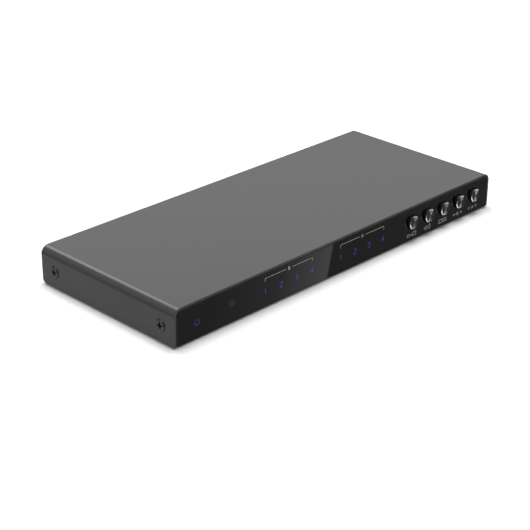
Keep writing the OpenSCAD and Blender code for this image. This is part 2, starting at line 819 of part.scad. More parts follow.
module ir_receiver() {
    color([0.15, 0.1, 0.12]) {
        block([ir_x - receiver_w / 2, y_front_board - receiver_t, z_ir - receiver_h / 2],
              [ir_x + receiver_w / 2, y_front_board, z_ir + receiver_h / 2]);
        intersection() {
            translate([ir_x, y_front_board - receiver_t, z_ir]) sphere(receiver_lens_r);
            rod_y(ir_x, z_ir, receiver_w / 2, y_wall, y_front_board);
        }
    }
}

// Ribbon socket drawn in Y and Z: a block on its board with a slot for the cable
module ribbon_socket_outline() {
    difference() {
        translate([-ribbon_socket_t / 2, 0]) square([ribbon_socket_t, ribbon_socket_h]);
        translate([-ribbon_t / 2 - ribbon_gap, ribbon_socket_h - ribbon_seat - ribbon_gap])
            square([ribbon_t + 2 * ribbon_gap, ribbon_seat + ribbon_gap + over]);
    }
}

module along_ribbon(margin) {
    along_x(ribbon_x - ribbon_w / 2 - margin, ribbon_x + ribbon_w / 2 + margin) children();
}

module front_ribbon_socket() {
    color("ivory") along_ribbon(ribbon_margin)
        translate([y_behind, ribbon_top]) rotate(-90) ribbon_socket_outline();
}

module main_ribbon_socket() {
    color("ivory") along_ribbon(ribbon_margin)
        translate([ribbon_main_y, z_deck]) ribbon_socket_outline();
}

// Flat cable from the front board, bent down to the main board
module ribbon_cable() {
    bend_z = ribbon_top - ribbon_bend_r;
    main_z = z_deck + ribbon_socket_h - ribbon_seat;
    front_y = y_behind + ribbon_socket_h - ribbon_seat;
    color("gainsboro") along_ribbon(0) {
        translate([front_y, ribbon_top - ribbon_t / 2]) square([ribbon_bend_y - front_y, ribbon_t]);
        intersection() {
            translate([ribbon_bend_y, bend_z]) difference() {
                circle(ribbon_bend_r + ribbon_t / 2);
                circle(ribbon_bend_r - ribbon_t / 2);
            }
            translate([ribbon_bend_y, bend_z]) square(ribbon_bend_r + ribbon_t);
        }
        translate([ribbon_main_y - ribbon_t / 2, main_z]) square([ribbon_t, bend_z - main_z]);
    }
}

// Board that carries every socket at the rear, with notched corners behind the tray's tabs
module main_board() {
    color([0.05, 0.3, 0.12]) difference() {
        block([-x_board, y_main_front, z_board], [x_board, y_main_rear, z_deck]);
        for (side = [0, 1]) mirror([side, 0, 0])
            block([x_outer - tab_inset - tab_w / 2 - board_rear_gap, y_panel - tray_t - board_rear_gap,
                   z_board - over],
                  [x_outer, y_rear, z_deck + over]);
        for (place = board_screw_places) translate([place[0], place[1], z_board - over])
            cylinder(r = screw_r + screw_gap, h = board_t + 2 * over);
    }
}

module board_standoffs() {
    color("silver") for (place = board_screw_places)
        translate([place[0], place[1], z_floor]) standoff(standoff_h);
}

module board_screws() {
    color("silver") for (place = board_screw_places) translate([place[0], place[1], z_deck]) pan_screw();
}

// Folded metal shells of the video sockets at the given places
module video_shells(places) {
    color("lightgray") for (x = places) along_y(y_video - video_l, y_video) translate([x, video_floor])
        difference() {
            video_outline(video_shell_t);
            video_outline(0);
        }
}

// Insulators of the video sockets: a block in the back of the shell and a contact tongue
module video_cores(places) {
    color([0.1, 0.1, 0.1]) for (x = places) translate([x, 0, video_floor]) {
        along_y(y_video - video_l, y_video - video_l + core_l) video_outline(-core_gap);
        block([-tongue_w / 2, y_video - video_l + core_l, tongue_z - tongue_t / 2],
              [tongue_w / 2, y_video - tongue_back, tongue_z + tongue_t / 2]);
    }
}

module input_shells() {
    video_shells(input_places);
}

module input_cores() {
    video_cores(input_places);
}

module output_shells() {
    video_shells(output_places);
}

module output_cores() {
    video_cores(output_places);
}

// Plastic case of the power jack, with its bore open to the rear
module dc_jack_body() {
    color([0.09, 0.09, 0.09]) difference() {
        block([dc_x - dc_w / 2, y_dc - dc_l, z_deck], [dc_x + dc_w / 2, y_dc, z_deck + dc_h]);
        rod_y(dc_x, dc_z, dc_bore_r, y_dc - dc_bore_l, y_dc + over);
        rod_y(dc_x, dc_z, dc_root_r + dc_root_gap, y_dc - dc_bore_l - dc_root_l, y_dc);
    }
}

// Centre pin of the power jack, standing on the bore's floor with its root in the back wall
module dc_jack_pin() {
    color("silver") {
        rod_y(dc_x, dc_z, dc_root_r, y_dc - dc_bore_l - dc_root_l, y_dc - dc_bore_l);
        rod_y(dc_x, dc_z, dc_pin_r, y_dc - dc_bore_l, y_dc - dc_bore_l + dc_pin_l);
    }
}

// Plastic case of the audio jack, with the inner part of its bore
module audio_jack_body() {
    color([0.09, 0.09, 0.09]) difference() {
        block([audio_x - audio_w / 2, y_panel - audio_l, z_deck],
              [audio_x + audio_w / 2, y_panel, z_deck + audio_h]);
        rod_y(audio_x, audio_z, audio_bore_r, y_panel - audio_bore_l, y_panel + over);
    }
}

// Metal bush of the audio jack, through the rear panel
module audio_jack_bush() {
    color("silver") difference() {
        rod_y(audio_x, audio_z, bush_r, y_panel, y_rear + bush_proud);
        rod_y(audio_x, audio_z, audio_bore_r, y_panel - over, y_rear + bush_proud + over);
    }
}

// Plastic case of the optical jack, with pivot holes for its shutter
module optical_jack_body() {
    color([0.09, 0.09, 0.09]) difference() {
        block([optical_x - optical_w / 2, y_optical - optical_l, z_deck],
              [optical_x + optical_w / 2, y_optical, z_deck + optical_h]);
        block([optical_x - optical_inner_w / 2, y_optical - optical_cavity_l, z_deck + optical_wall],
              [optical_x + optical_inner_w / 2, y_optical + over, z_deck + optical_h - optical_wall]);
        rod_x(pivot_y, pivot_z, pivot_r + pivot_gap, optical_x - optical_w / 2 - over,
              optical_x + optical_w / 2 + over);
    }
}

// Dust shutter that hangs from two pivot pins and swings inwards
module optical_shutter() {
    flap_half = optical_inner_w / 2 - shutter_gap;
    color([0.2, 0.2, 0.2]) {
        rod_x(pivot_y, pivot_z, shutter_t / 2, optical_x - flap_half, optical_x + flap_half);
        block([optical_x - flap_half, pivot_y - shutter_t / 2, z_deck + optical_wall + shutter_gap],
              [optical_x + flap_half, pivot_y + shutter_t / 2, pivot_z]);
        rod_x(pivot_y, pivot_z, pivot_r, optical_x - optical_w / 2, optical_x + optical_w / 2);
    }
}

// A square block of the given width and height, standing on z at the middle of the processor
module on_processor(w, z, h) {
    translate([processor_x - w / 2, y_main_front + processor_y - w / 2, z]) cube([w, w, h]);
}

module video_processor() {
    color([0.1, 0.1, 0.1]) on_processor(processor_w, z_deck, processor_h);
}

module thermal_pad() {
    color("slategray") on_processor(pad_w, z_deck + processor_h, pad_t);
}

// Finned block on the processor
module heat_sink() {
    z_sink = z_deck + processor_h + pad_t;
    fin_step = (sink_w - fin_t) / (fin_n - 1);
    color([0.15, 0.15, 0.16]) {
        on_processor(sink_w, z_sink, sink_base);
        for (i = [0 : fin_n - 1])
            translate([processor_x - sink_w / 2 + i * fin_step, y_main_front + processor_y - sink_w / 2,
                       z_sink + sink_base])
                cube([fin_t, sink_w, fin_h]);
    }
}

module interface_chips() {
    color([0.1, 0.1, 0.1]) for (x = chip_places)
        translate([x - chip_w / 2, y_main_front + chip_y - chip_w / 2, z_deck])
            cube([chip_w, chip_w, chip_h]);
}

module filter_capacitors() {
    color([0.15, 0.15, 0.2]) for (x = capacitor_places)
        translate([x, y_main_front + capacitor_y, z_deck]) cylinder(r = capacitor_r, h = capacitor_h);
}

top_cover();
bottom_tray();
rubber_feet();
cover_screws();
rear_panel();
rear_panel_screws();
front_fascia();
fascia_tape();
ir_window();
front_board();
front_board_spacers();
front_board_screws();
left_light_shroud();
right_light_shroud();
digit_light_guides();
power_light_guide();
indicator_leds();
ir_receiver();
front_ribbon_socket();
ribbon_cable();
main_ribbon_socket();
main_board();
board_standoffs();
board_screws();
input_shells();
input_cores();
output_shells();
output_cores();
dc_jack_body();
dc_jack_pin();
audio_jack_body();
audio_jack_bush();
optical_jack_body();
optical_shutter();
video_processor();
thermal_pad();
heat_sink();
interface_chips();
filter_capacitors();
for (i = [0 : len(BUTTONS) - 1]) {
    button_body(i);
    button_face(i);
    switch_plunger(i);
    switch_case(i);
}
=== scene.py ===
"""Looks of a desktop switch box for four video sources and two screens.

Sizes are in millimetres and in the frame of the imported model; a finished mesh is turned to metres once.
"""

import math

import bmesh
import bpy
from mathutils import Matrix, Vector


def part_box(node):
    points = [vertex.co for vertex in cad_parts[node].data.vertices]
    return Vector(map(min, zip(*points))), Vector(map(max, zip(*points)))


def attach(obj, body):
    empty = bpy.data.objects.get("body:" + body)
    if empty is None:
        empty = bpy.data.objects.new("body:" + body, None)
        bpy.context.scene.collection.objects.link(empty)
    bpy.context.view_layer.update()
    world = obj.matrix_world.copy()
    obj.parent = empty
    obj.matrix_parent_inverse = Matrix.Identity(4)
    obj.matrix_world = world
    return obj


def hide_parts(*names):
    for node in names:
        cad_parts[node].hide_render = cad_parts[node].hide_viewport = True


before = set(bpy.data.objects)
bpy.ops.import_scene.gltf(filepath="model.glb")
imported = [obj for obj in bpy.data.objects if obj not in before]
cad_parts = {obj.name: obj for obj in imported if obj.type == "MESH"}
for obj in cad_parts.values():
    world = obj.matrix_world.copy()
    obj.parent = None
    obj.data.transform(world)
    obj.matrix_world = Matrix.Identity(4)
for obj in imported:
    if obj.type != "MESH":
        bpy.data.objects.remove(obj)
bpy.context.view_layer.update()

MM = 0.001
WELD = 1e-4
HOUSING = "housing"
BUTTONS = ["scaler", "audio", "mode", "select_b", "select_a"]

# Housing sizes that the frame's boxes don't give
SHEET_T = 1.2
BEND_R = 3.9
BEND_STEPS = 24
WALL_CORNER_R = 0.6
WALL_REAR_CORNER_R = 2.2
COVER_EDGE = 0.2
PANEL_TOP_R = 2.55
PANEL_LOW_R = 0.8
PANEL_EDGE = 0.15
FASCIA_EDGE = 0.22

# Feet, pushed through the tray's floor
TRAY_T = 1.0
FOOT_PAD_R = 5.0
FOOT_NECK_R = 2.0
FOOT_LIP_R = 2.8
FOOT_LIP_H = 0.9
FOOT_EDGE = 0.25
FOOT_HOLLOW = 0.08
FOOT_EASE = 0.12

# Fasteners
SUNK_HEAD_R = 2.8
SUNK_HEAD_H = 0.9
SUNK_SEAT_R = 2.85
SUNK_RIM_INSET = 0.1
SUNK_RIM_DROP = 0.2
SUNK_CROWN_INSET = 0.4
SUNK_CROWN_DROP = 0.05
SUNK_EASE = 0.1
PAN_HEAD_R = 2.7
PAN_HEAD_H = 1.4
PAN_CROWN_INSET = 0.7
PAN_CROWN_DROP = 0.5
PAN_EASE = 0.25
SHANK_R = 1.5
SHANK_L = 3.0
SHANK_GAP = 0.05
RECESS_L = 1.7
RECESS_W = 0.85
RECESS_D = 1.2
RECESS_TAPER = 0.7
RECESS_TURN = math.radians(8)

# Front panel
HOLE_GAP = 0.2
WINDOW_GAP = 0.04
WINDOW_EASE = 0.12
DIGIT_N = 4
DIGIT_PITCH = 10.0
DIGIT_H = 2.6
DIGIT_STRETCH = 1.18
DIGIT_LINE = 0.29
BRACKET_W = 30.3
BRACKET_DROP = 1.75
BRACKET_LINE = 0.23
BRACKET_R = 0.25
BRACKET_RISE = 6.4
BRACKET_LETTER_H = 1.8
BRACKET_GAP = 4.2
MARK_DROP = 6.6
MARK_LINE = 0.3
MARK_LETTER_H = 1.7
INK_T = 0.02
MITRE_MIN = 0.4
SIGN_SIZE = 10.0
SIGN_BOLD = 0.16
POWER_R = 1.27
POWER_LINE = 0.27
POWER_GAP = 32
POWER_BAR_LOW = POWER_R * 0.65
POWER_BAR_TOP = POWER_R * 1.2

# Buttons: the dish turns steeper at a share of the radius, where the same share of its depth is left
BUTTON_CHAMFER = 0.3
BUTTON_DISH = 0.05
BUTTON_DISH_TURN = 0.6
BUTTON_LIP = 0.1
BUTTON_FLANGE_T = 0.8
BUTTON_PAD_L = 0.4
BUTTON_PAD_R = 2.0
BUTTON_EASE = 0.08
BUTTON_STEPS = 72
RING_PITCH = 0.3
RING_RELIEF = 0.002

# Video sockets
VIDEO_GROUPS = [("input", 4), ("output", 2)]
SHELL_T = 0.4
SHELL_W = 14.8
SHELL_SLOPE_W = 2.0
SHELL_SLOPE_H = 1.6
SHELL_CORNER_R = 0.35
SHELL_EDGE = 0.15
SPRING_X = 3.4
SPRING_W = 1.8
SPRING_T = 0.2
SPRING_L = 6.0
SPRING_SETBACK = 1.2
SPRING_SINK = 0.05
SPRING_BOW = 0.35
SPRING_STEPS = 10
CORE_L = 2.5
CORE_GAP = 0.05
CORE_EDGE = 0.1
TONGUE_W = 11.4
TONGUE_T = 1.3
TONGUE_Z = 2.4
TONGUE_CORNER_R = 0.15
TONGUE_EDGE = 0.12
CONTACT_SIZE = Vector((0.42, 5.6, 0.08))
CONTACT_PITCH = 1.0
CONTACT_SETBACK = 0.5

# Rear panel and jacks: the pin's root and tip are shares of its radius, its step's ends of the bore's depth
CUTOUT_GAP = 0.25
PANEL_SCREW_INSET = 8.5
REAR_MARK_RISE = 2.9
JACK_BORE_R = 2.9
JACK_BORE_L = 9.5
JACK_CORNER_R = 0.4
JACK_EDGE = 0.2
PIN_ROOT = 0.8
PIN_TIP = 0.5
PIN_TIP_L = 0.5
PIN_STEP_LOW = 0.9
PIN_STEP_TOP = 0.88
PIN_EASE = 0.3
BUSH_BORE_R = 1.8
BUSH_EDGE = 0.35
BUSH_LEAD = 0.3
BUSH_EASE = 0.08
OPTICAL_WALL = 0.8
OPTICAL_CAVITY_L = 10.0
OPTICAL_CORNER_R = 0.5
OPTICAL_CAVITY_CORNER_R = 0.25
OPTICAL_EDGE = 0.18
FLAP_GAP = 0.15
FLAP_CORNER_R = 0.35
FLAP_EDGE = 0.15
FLAP_PIN_EASE = 0.06


def box(node):
    """Lowest and highest corner of a CAD node at rest, in millimetres."""
    return tuple(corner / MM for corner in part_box(node))


def middle(node):
    low, high = box(node)
    return (low + high) / 2


def half_width(node):
    low, high = box(node)
    return (high.x - low.x) / 2


# Axes of a face seen from outside: local X runs to the viewer's right, Y up and Z towards the viewer
FRONT = Matrix.Rotation(math.pi / 2, 4, "X")
REAR = Matrix.Rotation(math.pi, 4, "Z") @ FRONT
RIGHT = Matrix.Rotation(math.pi / 2, 4, "Z") @ FRONT
LEFT = Matrix.Rotation(-math.pi / 2, 4, "Z") @ FRONT


def facing(axes, place):
    return Matrix.Translation(place) @ axes


# Shader and geometry node helper

def add(tree, kind, sockets=None, **settings):
    """Adds a node, sets its properties, then fills or links its sockets by name or number."""
    made = tree.nodes.new(kind)
    for name, value in settings.items():
        setattr(made, name, value)
    for socket, value in (sockets or {}).items():
        target = made.inputs[socket]
        if isinstance(value, bpy.types.NodeSocket):
            tree.links.new(value, target)
        else:
            target.default_value = value
    return made


def srgb(code):
    """Linear colour with alpha from an sRGB hex code."""
    parts = [int(code[i : i + 2], 16) / 255 for i in (1, 3, 5)]
    return [p / 12.92 if p <= 0.04045 else ((p + 0.055) / 1.055) ** 2.4 for p in parts] + [1.0]


# Materials

FINISHES = {}


def new_finish(name, sockets):
    """Starts a material and sets the plain values of its shader."""
    made = bpy.data.materials.new(name)
    made.use_nodes = True
    FINISHES[name] = made
    shader = made.node_tree.nodes["Principled BSDF"]
    for socket, value in sockets.items():
        shader.inputs[socket.replace("_", " ")].default_value = value
    return made.node_tree, shader


def grained(name, dark, light, grain, gloss, height, **sockets):
    """A material whose colour, roughness and relief follow one fine grain.

    grain is the grain's width and height its relief in millimetres; gloss is the roughness at both ends.
    """
    tree, shader = new_finish(name, sockets)
    place = add(tree, "ShaderNodeTexCoord")
    noise = add(tree, "ShaderNodeTexNoise", {
        "Vector": place.outputs["Object"], "Scale": 1 / (grain * MM), "Detail": 3.0, "Roughness": 0.6})
    tint = add(tree, "ShaderNodeMix", {0: noise.outputs["Fac"], 6: srgb(dark), 7: srgb(light)},
               data_type="RGBA")
    rough = add(tree, "ShaderNodeMapRange", {
        "Value": noise.outputs["Fac"], "To Min": gloss[0], "To Max": gloss[1]})
    relief = add(tree, "ShaderNodeBump", {"Height": noise.outputs["Fac"], "Distance": height * MM})
    tree.links.new(tint.outputs[2], shader.inputs["Base Color"])
    tree.links.new(rough.outputs["Result"], shader.inputs["Roughness"])
    tree.links.new(relief.outputs["Normal"], shader.inputs["Normal"])


def spun_aluminium():
    """Turned aluminium disc: its rings spread light outwards into two fans."""
    tree, shader = new_finish("spun_aluminium", {
        "Base Color": srgb("#666769"), "Metallic": 1.0, "Roughness": 0.48, "Anisotropic": 0.95})
    first, last = middle(BUTTONS[0] + "_button_face"), middle(BUTTONS[-1] + "_button_face")
    half_pitch = (last.x - first.x) / (len(BUTTONS) - 1) / 2
    place = add(tree, "ShaderNodeTexCoord")
    offset = add(tree, "ShaderNodeVectorMath", {0: place.outputs["Object"], 1: first * MM},
                 operation="SUBTRACT")
    split = add(tree, "ShaderNodeSeparateXYZ", {0: offset.outputs["Vector"]})
    across = add(tree, "ShaderNodeMath", {0: split.outputs["X"], 1: half_pitch * MM, 2: -half_pitch * MM},
                 operation="WRAP")
    radial = add(tree, "ShaderNodeCombineXYZ", {"X": across.outputs[0], "Z": split.outputs["Z"]})
    distance = add(tree, "ShaderNodeVectorMath", {0: radial.outputs[0]}, operation="LENGTH")
    # The turning marks are about 0.05 mm apart and drawn coarser, so that they show
    rings = add(tree, "ShaderNodeMath", {0: distance.outputs["Value"], 1: 2 * math.pi / (RING_PITCH * MM)},
                operation="MULTIPLY")
    wave = add(tree, "ShaderNodeMath", {0: rings.outputs[0]}, operation="SINE")
    relief = add(tree, "ShaderNodeBump", {"Height": wave.outputs[0], "Distance": RING_RELIEF * MM})
    tree.links.new(radial.outputs[0], shader.inputs["Tangent"])
    tree.links.new(relief.outputs["Normal"], shader.inputs["Normal"])


spun_aluminium()
# Satin stoved paint on steel: an even dark grey with a fine tooth, seen here at twice its real size
grained("satin_painted_steel", "#444445", "#484849", 0.3, (0.22, 0.26), 0.0002, IOR=1.4)
# Textured powder coat on steel: black with a coarse orange-peel tooth
grained("powder_coated_steel", "#161617", "#202022", 0.7, (0.5, 0.62), 0.02)
# Polished black acrylic: deep and mirror smooth
grained("black_acrylic", "#08080A", "#0B0B0D", 6.0, (0.03, 0.05), 0.0, IOR=1.49)
# Smoked acrylic that passes infrared: a shade lighter and less polished than the panel
grained("infrared_acrylic", "#242224", "#2A282A", 2.0, (0.18, 0.24), 0.0, IOR=1.49)
# Thin spots of the dark acrylic with dim blue light behind them
grained("lit_blue_film", "#0C0C20", "#121228", 0.6, (0.06, 0.1), 0.0, IOR=1.49,
        Emission_Color=srgb("#5350B6"), Emission_Strength=0.5)
# Moulded black ABS with a fine spark-eroded tooth
grained("moulded_black_abs", "#0B0B0C", "#131314", 0.25, (0.38, 0.5), 0.004)
# Screen-printed white ink: matt and slightly uneven
grained("white_ink", "#A8A8A8", "#B8B8B8", 0.4, (0.55, 0.7), 0.001)
# Blackened steel screws with an oily sheen
grained("blackened_steel", "#38383A", "#505052", 0.4, (0.3, 0.45), 0.004, Metallic=1.0)
# Bright-cut aluminium edge round each button's disc
grained("bright_cut_aluminium", "#ACADAF", "#B4B5B7", 0.3, (0.14, 0.18), 0.0, Metallic=1.0)
# Black zinc plate on the cover's screws: a smoky metal about as dark as the paint round it
grained("black_zinc_plate", "#4C4C4E", "#666668", 0.4, (0.3, 0.45), 0.004, Metallic=1.0)
# Nickel-plated sheet: bright and slightly warm, with a faint mottle
grained("nickel_plate", "#A8A49C", "#BDB9B1", 0.8, (0.2, 0.32), 0.003, Metallic=1.0)
# Gold flash on spring contacts: yellow and bright
grained("gold_flash", "#B98A35", "#D0A24A", 0.3, (0.2, 0.3), 0.001, Metallic=1.0)
# Glass-filled nylon of the jacks: matt black with a faint fibre grain
grained("glass_filled_nylon", "#0E0E0F", "#181819", 0.35, (0.45, 0.6), 0.006)
# Moulded silicone rubber: dull dark grey with a dusty bloom
grained("silicone_rubber", "#141415", "#1F1F20", 0.9, (0.7, 0.85), 0.01)
# Green solder mask over laminate: half glossy
grained("solder_mask", "#0C3A1C", "#145028", 1.5, (0.25, 0.4), 0.005)
# Clear moulded acrylic of the light guides: glassy
grained("clear_acrylic", "#DDE6EE", "#EAF0F4", 3.0, (0.08, 0.15), 0.0, IOR=1.49, Transmission_Weight=0.9)
# Cast epoxy lens of the light sources: milky yellow
grained("epoxy_lens", "#D8D4B4", "#E6E2C6", 0.5, (0.2, 0.3), 0.0)
# Natural moulded nylon of the ribbon sockets: ivory and waxy
grained("ivory_nylon", "#CFC8B2", "#DDD7C4", 0.8, (0.4, 0.55), 0.004)
# Polyester film of the ribbon cable: pale and smooth
grained("polyester_film", "#C6C8C8", "#D8DADA", 1.2, (0.25, 0.35), 0.0)
# Filled epoxy of the chips: matt near-black
grained("chip_epoxy", "#141415", "#1E1E20", 0.3, (0.55, 0.7), 0.006)
# Filled silicone of the thermal pad: dull blue-grey
grained("thermal_silicone", "#6C7886", "#7E8A98", 0.6, (0.75, 0.85), 0.01)
# Black anodised aluminium of the heat sink: dark with a silky sheen
grained("anodised_aluminium", "#1C1C1E", "#2A2A2C", 0.5, (0.35, 0.45), 0.004, Metallic=0.7)
# Shrunk film sleeve of the capacitors: dark blue-grey
grained("capacitor_sleeve", "#20222C", "#2A2D38", 1.0, (0.35, 0.45), 0.002)
# Pressed brown phenolic of the switch plungers: half matt
grained("phenolic", "#4A2E1C", "#5C3A24", 0.5, (0.45, 0.55), 0.004)
# Foam tape: dull and open-pored
grained("foam_tape", "#26262A", "#34343A", 0.5, (0.8, 0.9), 0.03)
# Turned bright steel of the inner spacers and screws
grained("bright_steel", "#9A9A98", "#B0B0AE", 0.5, (0.25, 0.35), 0.003, Metallic=1.0)


# Mesh helpers

def rounded(points, radius, steps=6):
    """A closed outline with each corner turned into an arc; radius is one number or one per corner."""
    corners = [Vector(p) for p in points]
    radii = radius if isinstance(radius, (list, tuple)) else [radius] * len(corners)
    outline = []
    for i, (corner, r) in enumerate(zip(corners, radii)):
        before = (corner - corners[i - 1]).normalized()
        after = (corners[(i + 1) % len(corners)] - corner).normalized()
        turn = math.atan2(before.cross(after), before.dot(after))
        side = Vector((-before.y, before.x)) * math.copysign(1, turn)
        start = corner - before * r * math.tan(abs(turn) / 2)
        for k in range(steps + 1):
            angle = abs(turn) * k / steps
            outline.append(start + r * (math.sin(angle) * before + (1 - math.cos(angle)) * side))
    return outline


def rectangle(low_x, low_y, high_x, high_y):
    return [(low_x, low_y), (high_x, low_y), (high_x, high_y), (low_x, high_y)]


def circle(x, y, r, steps=64):
    turns = [2 * math.pi * k / steps for k in range(steps)]
    return [Vector((x + r * math.cos(a), y + r * math.sin(a))) for a in turns]


def arc(x, y, r, start, end, steps=20):
    """Points along an arc, with its angles in degrees."""
    turns = [math.radians(start + (end - start) * k / steps) for k in range(steps + 1)]
    return [Vector((x + r * math.cos(a), y + r * math.sin(a))) for a in turns]


def eased(profile, ease, steps=3):
    """A turned profile whose inner corners start to curve at the distance ease before them."""
    points = [Vector(p) for p in profile]
    smooth = [points[0]]
    for before, corner, after in zip(points, points[1:], points[2:]):
        start = corner + (before - corner).normalized() * min(ease, (before - corner).length / 2)
        end = corner + (after - corner).normalized() * min(ease, (after - corner).length / 2)
        for k in range(steps + 1):
            t = k / steps
            smooth.append(start * (1 - t) ** 2 + corner * 2 * t * (1 - t) + end * t**2)
    return smooth + [points[-1]]


def lathe(bm, profile, place, steps=64):
    """Turns (radius, height) points about the local Z axis of place."""
    rings = []
    for radius, height in profile:
        ring = circle(0, 0, radius, steps if radius > 0 else 1)
        rings.append([bm.verts.new(place @ Vector((*spot, height))) for spot in ring])
    for low, high in zip(rings, rings[1:]):
        for k in range(steps):
            corners = [low[k % len(low)], low[(k + 1) % len(low)],
                       high[(k + 1) % len(high)], high[k % len(high)]]
            bm.faces.new(list(dict.fromkeys(corners)))


def evaluated_mesh(thing):
    """The object's final mesh as plain data; the object itself is removed."""
    graph = bpy.context.evaluated_depsgraph_get()
    data = bpy.data.meshes.new_from_object(thing.evaluated_get(graph), depsgraph=graph)
    bpy.data.objects.remove(thing)
    return data


def linked(name, data):
    made = bpy.data.objects.new(name, data)
    bpy.context.scene.collection.objects.link(made)
    return made


def take_in(bm, mesh):
    """Adds a mesh to bm and removes it."""
    bm.from_mesh(mesh)
    bpy.data.meshes.remove(mesh)


def plate(bm, loops, thickness, edge, place):
    """Adds a flat plate cut to its outer loop and holes, with rounded edges, centred on place's local Z."""
    data = bpy.data.curves.new("plate", "CURVE")
    data.dimensions = "2D"
    data.fill_mode = "BOTH"
    data.extrude = thickness / 2 - edge
    data.bevel_depth = edge
    data.bevel_resolution = 2
    data.offset = -edge
    for loop in loops:
        spline = data.splines.new("POLY")
        spline.points.add(len(loop) - 1)
        for point, corner in zip(spline.points, loop):
            point.co = (corner[0], corner[1], 0, 1)
        spline.use_cyclic_u = True
    mesh = evaluated_mesh(linked("plate", data))
    mesh.transform(place)
    take_in(bm, mesh)


def slab(bm, axes, loops, low_y, high_y, edge):
    """Adds a plate, cut as seen along axes, that reaches from one depth to another."""
    plate(bm, loops, high_y - low_y, edge, facing(axes, (0, (low_y + high_y) / 2, 0)))


def stroke(bm, path, width, place, closed=False):
    """Adds a line of ink of the given width along a flat path, with its sharp corners kept short."""
    points = [Vector(p) for p in path]
    count = len(points)
    rows = []
    for i, point in enumerate(points):
        before = points[i - 1] if closed or i > 0 else point
        after = points[(i + 1) % count] if closed or i < count - 1 else point
        into, out = (point - before), (after - point)
        into = (into if into.length else out).normalized()
        out = (out if out.length else into).normalized()
        mitre = Vector((-into.y - out.y, into.x + out.x)).normalized()
        reach = width / 2 / max(MITRE_MIN, mitre.dot(Vector((-into.y, into.x))))
        sides = [point + mitre * reach, point - mitre * reach]
        rows.append([bm.verts.new(place @ Vector((s.x, s.y, z))) for s in sides for z in (-INK_T, INK_T)])
    pairs = list(zip(rows, rows[1:])) + ([(rows[-1], rows[0])] if closed else [])
    for a, b in pairs:
        for i, j in ((0, 1), (1, 3), (3, 2), (2, 0)):
            bm.faces.new((a[i], a[j], b[j], b[i]))
    if not closed:
        for end in (rows[0], rows[-1]):
            bm.faces.new((end[0], end[1], end[3], end[2]))


def sign(bm, words, height, place):
    """Adds a plain printed character of the given height, centred on place."""
    data = bpy.data.curves.new("sign", "FONT")
    data.body = words
    data.size = SIGN_SIZE
    data.offset = SIGN_BOLD
    data.extrude = INK_T
    mesh = evaluated_mesh(linked("sign", data))
    spots = [v.co for v in mesh.vertices]
    low = Vector(min(s[i] for s in spots) for i in range(3))
    high = Vector(max(s[i] for s in spots) for i in range(3))
    scale = height / (high.y - low.y)
    centred = Matrix.Diagonal((scale, scale, 1, 1)) @ Matrix.Translation(-(low + high) / 2)
    mesh.transform(place @ centred)
    take_in(bm, mesh)


def welded(name, bm):
    """Merges what touches, turns the faces outwards and returns the mesh."""
    bmesh.ops.remove_doubles(bm, verts=bm.verts, dist=WELD)
    bmesh.ops.recalc_face_normals(bm, faces=bm.faces)
    for face in bm.faces:
        face.smooth = True
    data = bpy.data.meshes.new(name)
    bm.to_mesh(data)
    bm.free()
    return data


def install(name, shape, finish, body=HOUSING, replaced=(), crease=40):
    """Makes the finished piece: metres, even shading, its material and its body, and hides the CAD parts that
    it stands for.

    shape is a ready mesh, or a bmesh that is welded first.
    """
    data = welded(name, shape) if isinstance(shape, bmesh.types.BMesh) else shape
    data.set_sharp_from_angle(angle=math.radians(crease))
    shaded = linked(name + "_shading", data)
    weigh = shaded.modifiers.new("even shading", "WEIGHTED_NORMAL")
    weigh.keep_sharp = True
    data = evaluated_mesh(shaded)
    data.transform(Matrix.Scale(MM, 4))
    data.materials.clear()
    data.materials.append(FINISHES[finish])
    data.name = name
    piece = linked(name, data)
    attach(piece, body)
    if replaced:
        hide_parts(*replaced)
    return piece


def turned(name, profile, place, finish, body=HOUSING, replaced=(), crease=40, steps=64):
    """Makes a finished piece that is one turned profile."""
    bm = bmesh.new()
    lathe(bm, profile, place, steps)
    return install(name, bm, finish, body, replaced, crease)


# Geometry nodes: one tree that sets a small part at every place, and one for rows of contacts

def tree_with(name, inputs):
    tree = bpy.data.node_groups.new(name, "GeometryNodeTree")
    for label, kind in inputs:
        tree.interface.new_socket(label, in_out="INPUT", socket_type=kind)
    tree.interface.new_socket("Geometry", in_out="OUTPUT", socket_type="NodeSocketGeometry")
    return tree, add(tree, "NodeGroupInput")


def close_tree(tree, start, instances):
    real = add(tree, "GeometryNodeRealizeInstances", {"Geometry": instances})
    dressed = add(tree, "GeometryNodeSetMaterial", {
        "Geometry": real.outputs["Geometry"], "Material": start.outputs["Finish"]})
    add(tree, "NodeGroupOutput", {"Geometry": dressed.outputs["Geometry"]})
    return tree


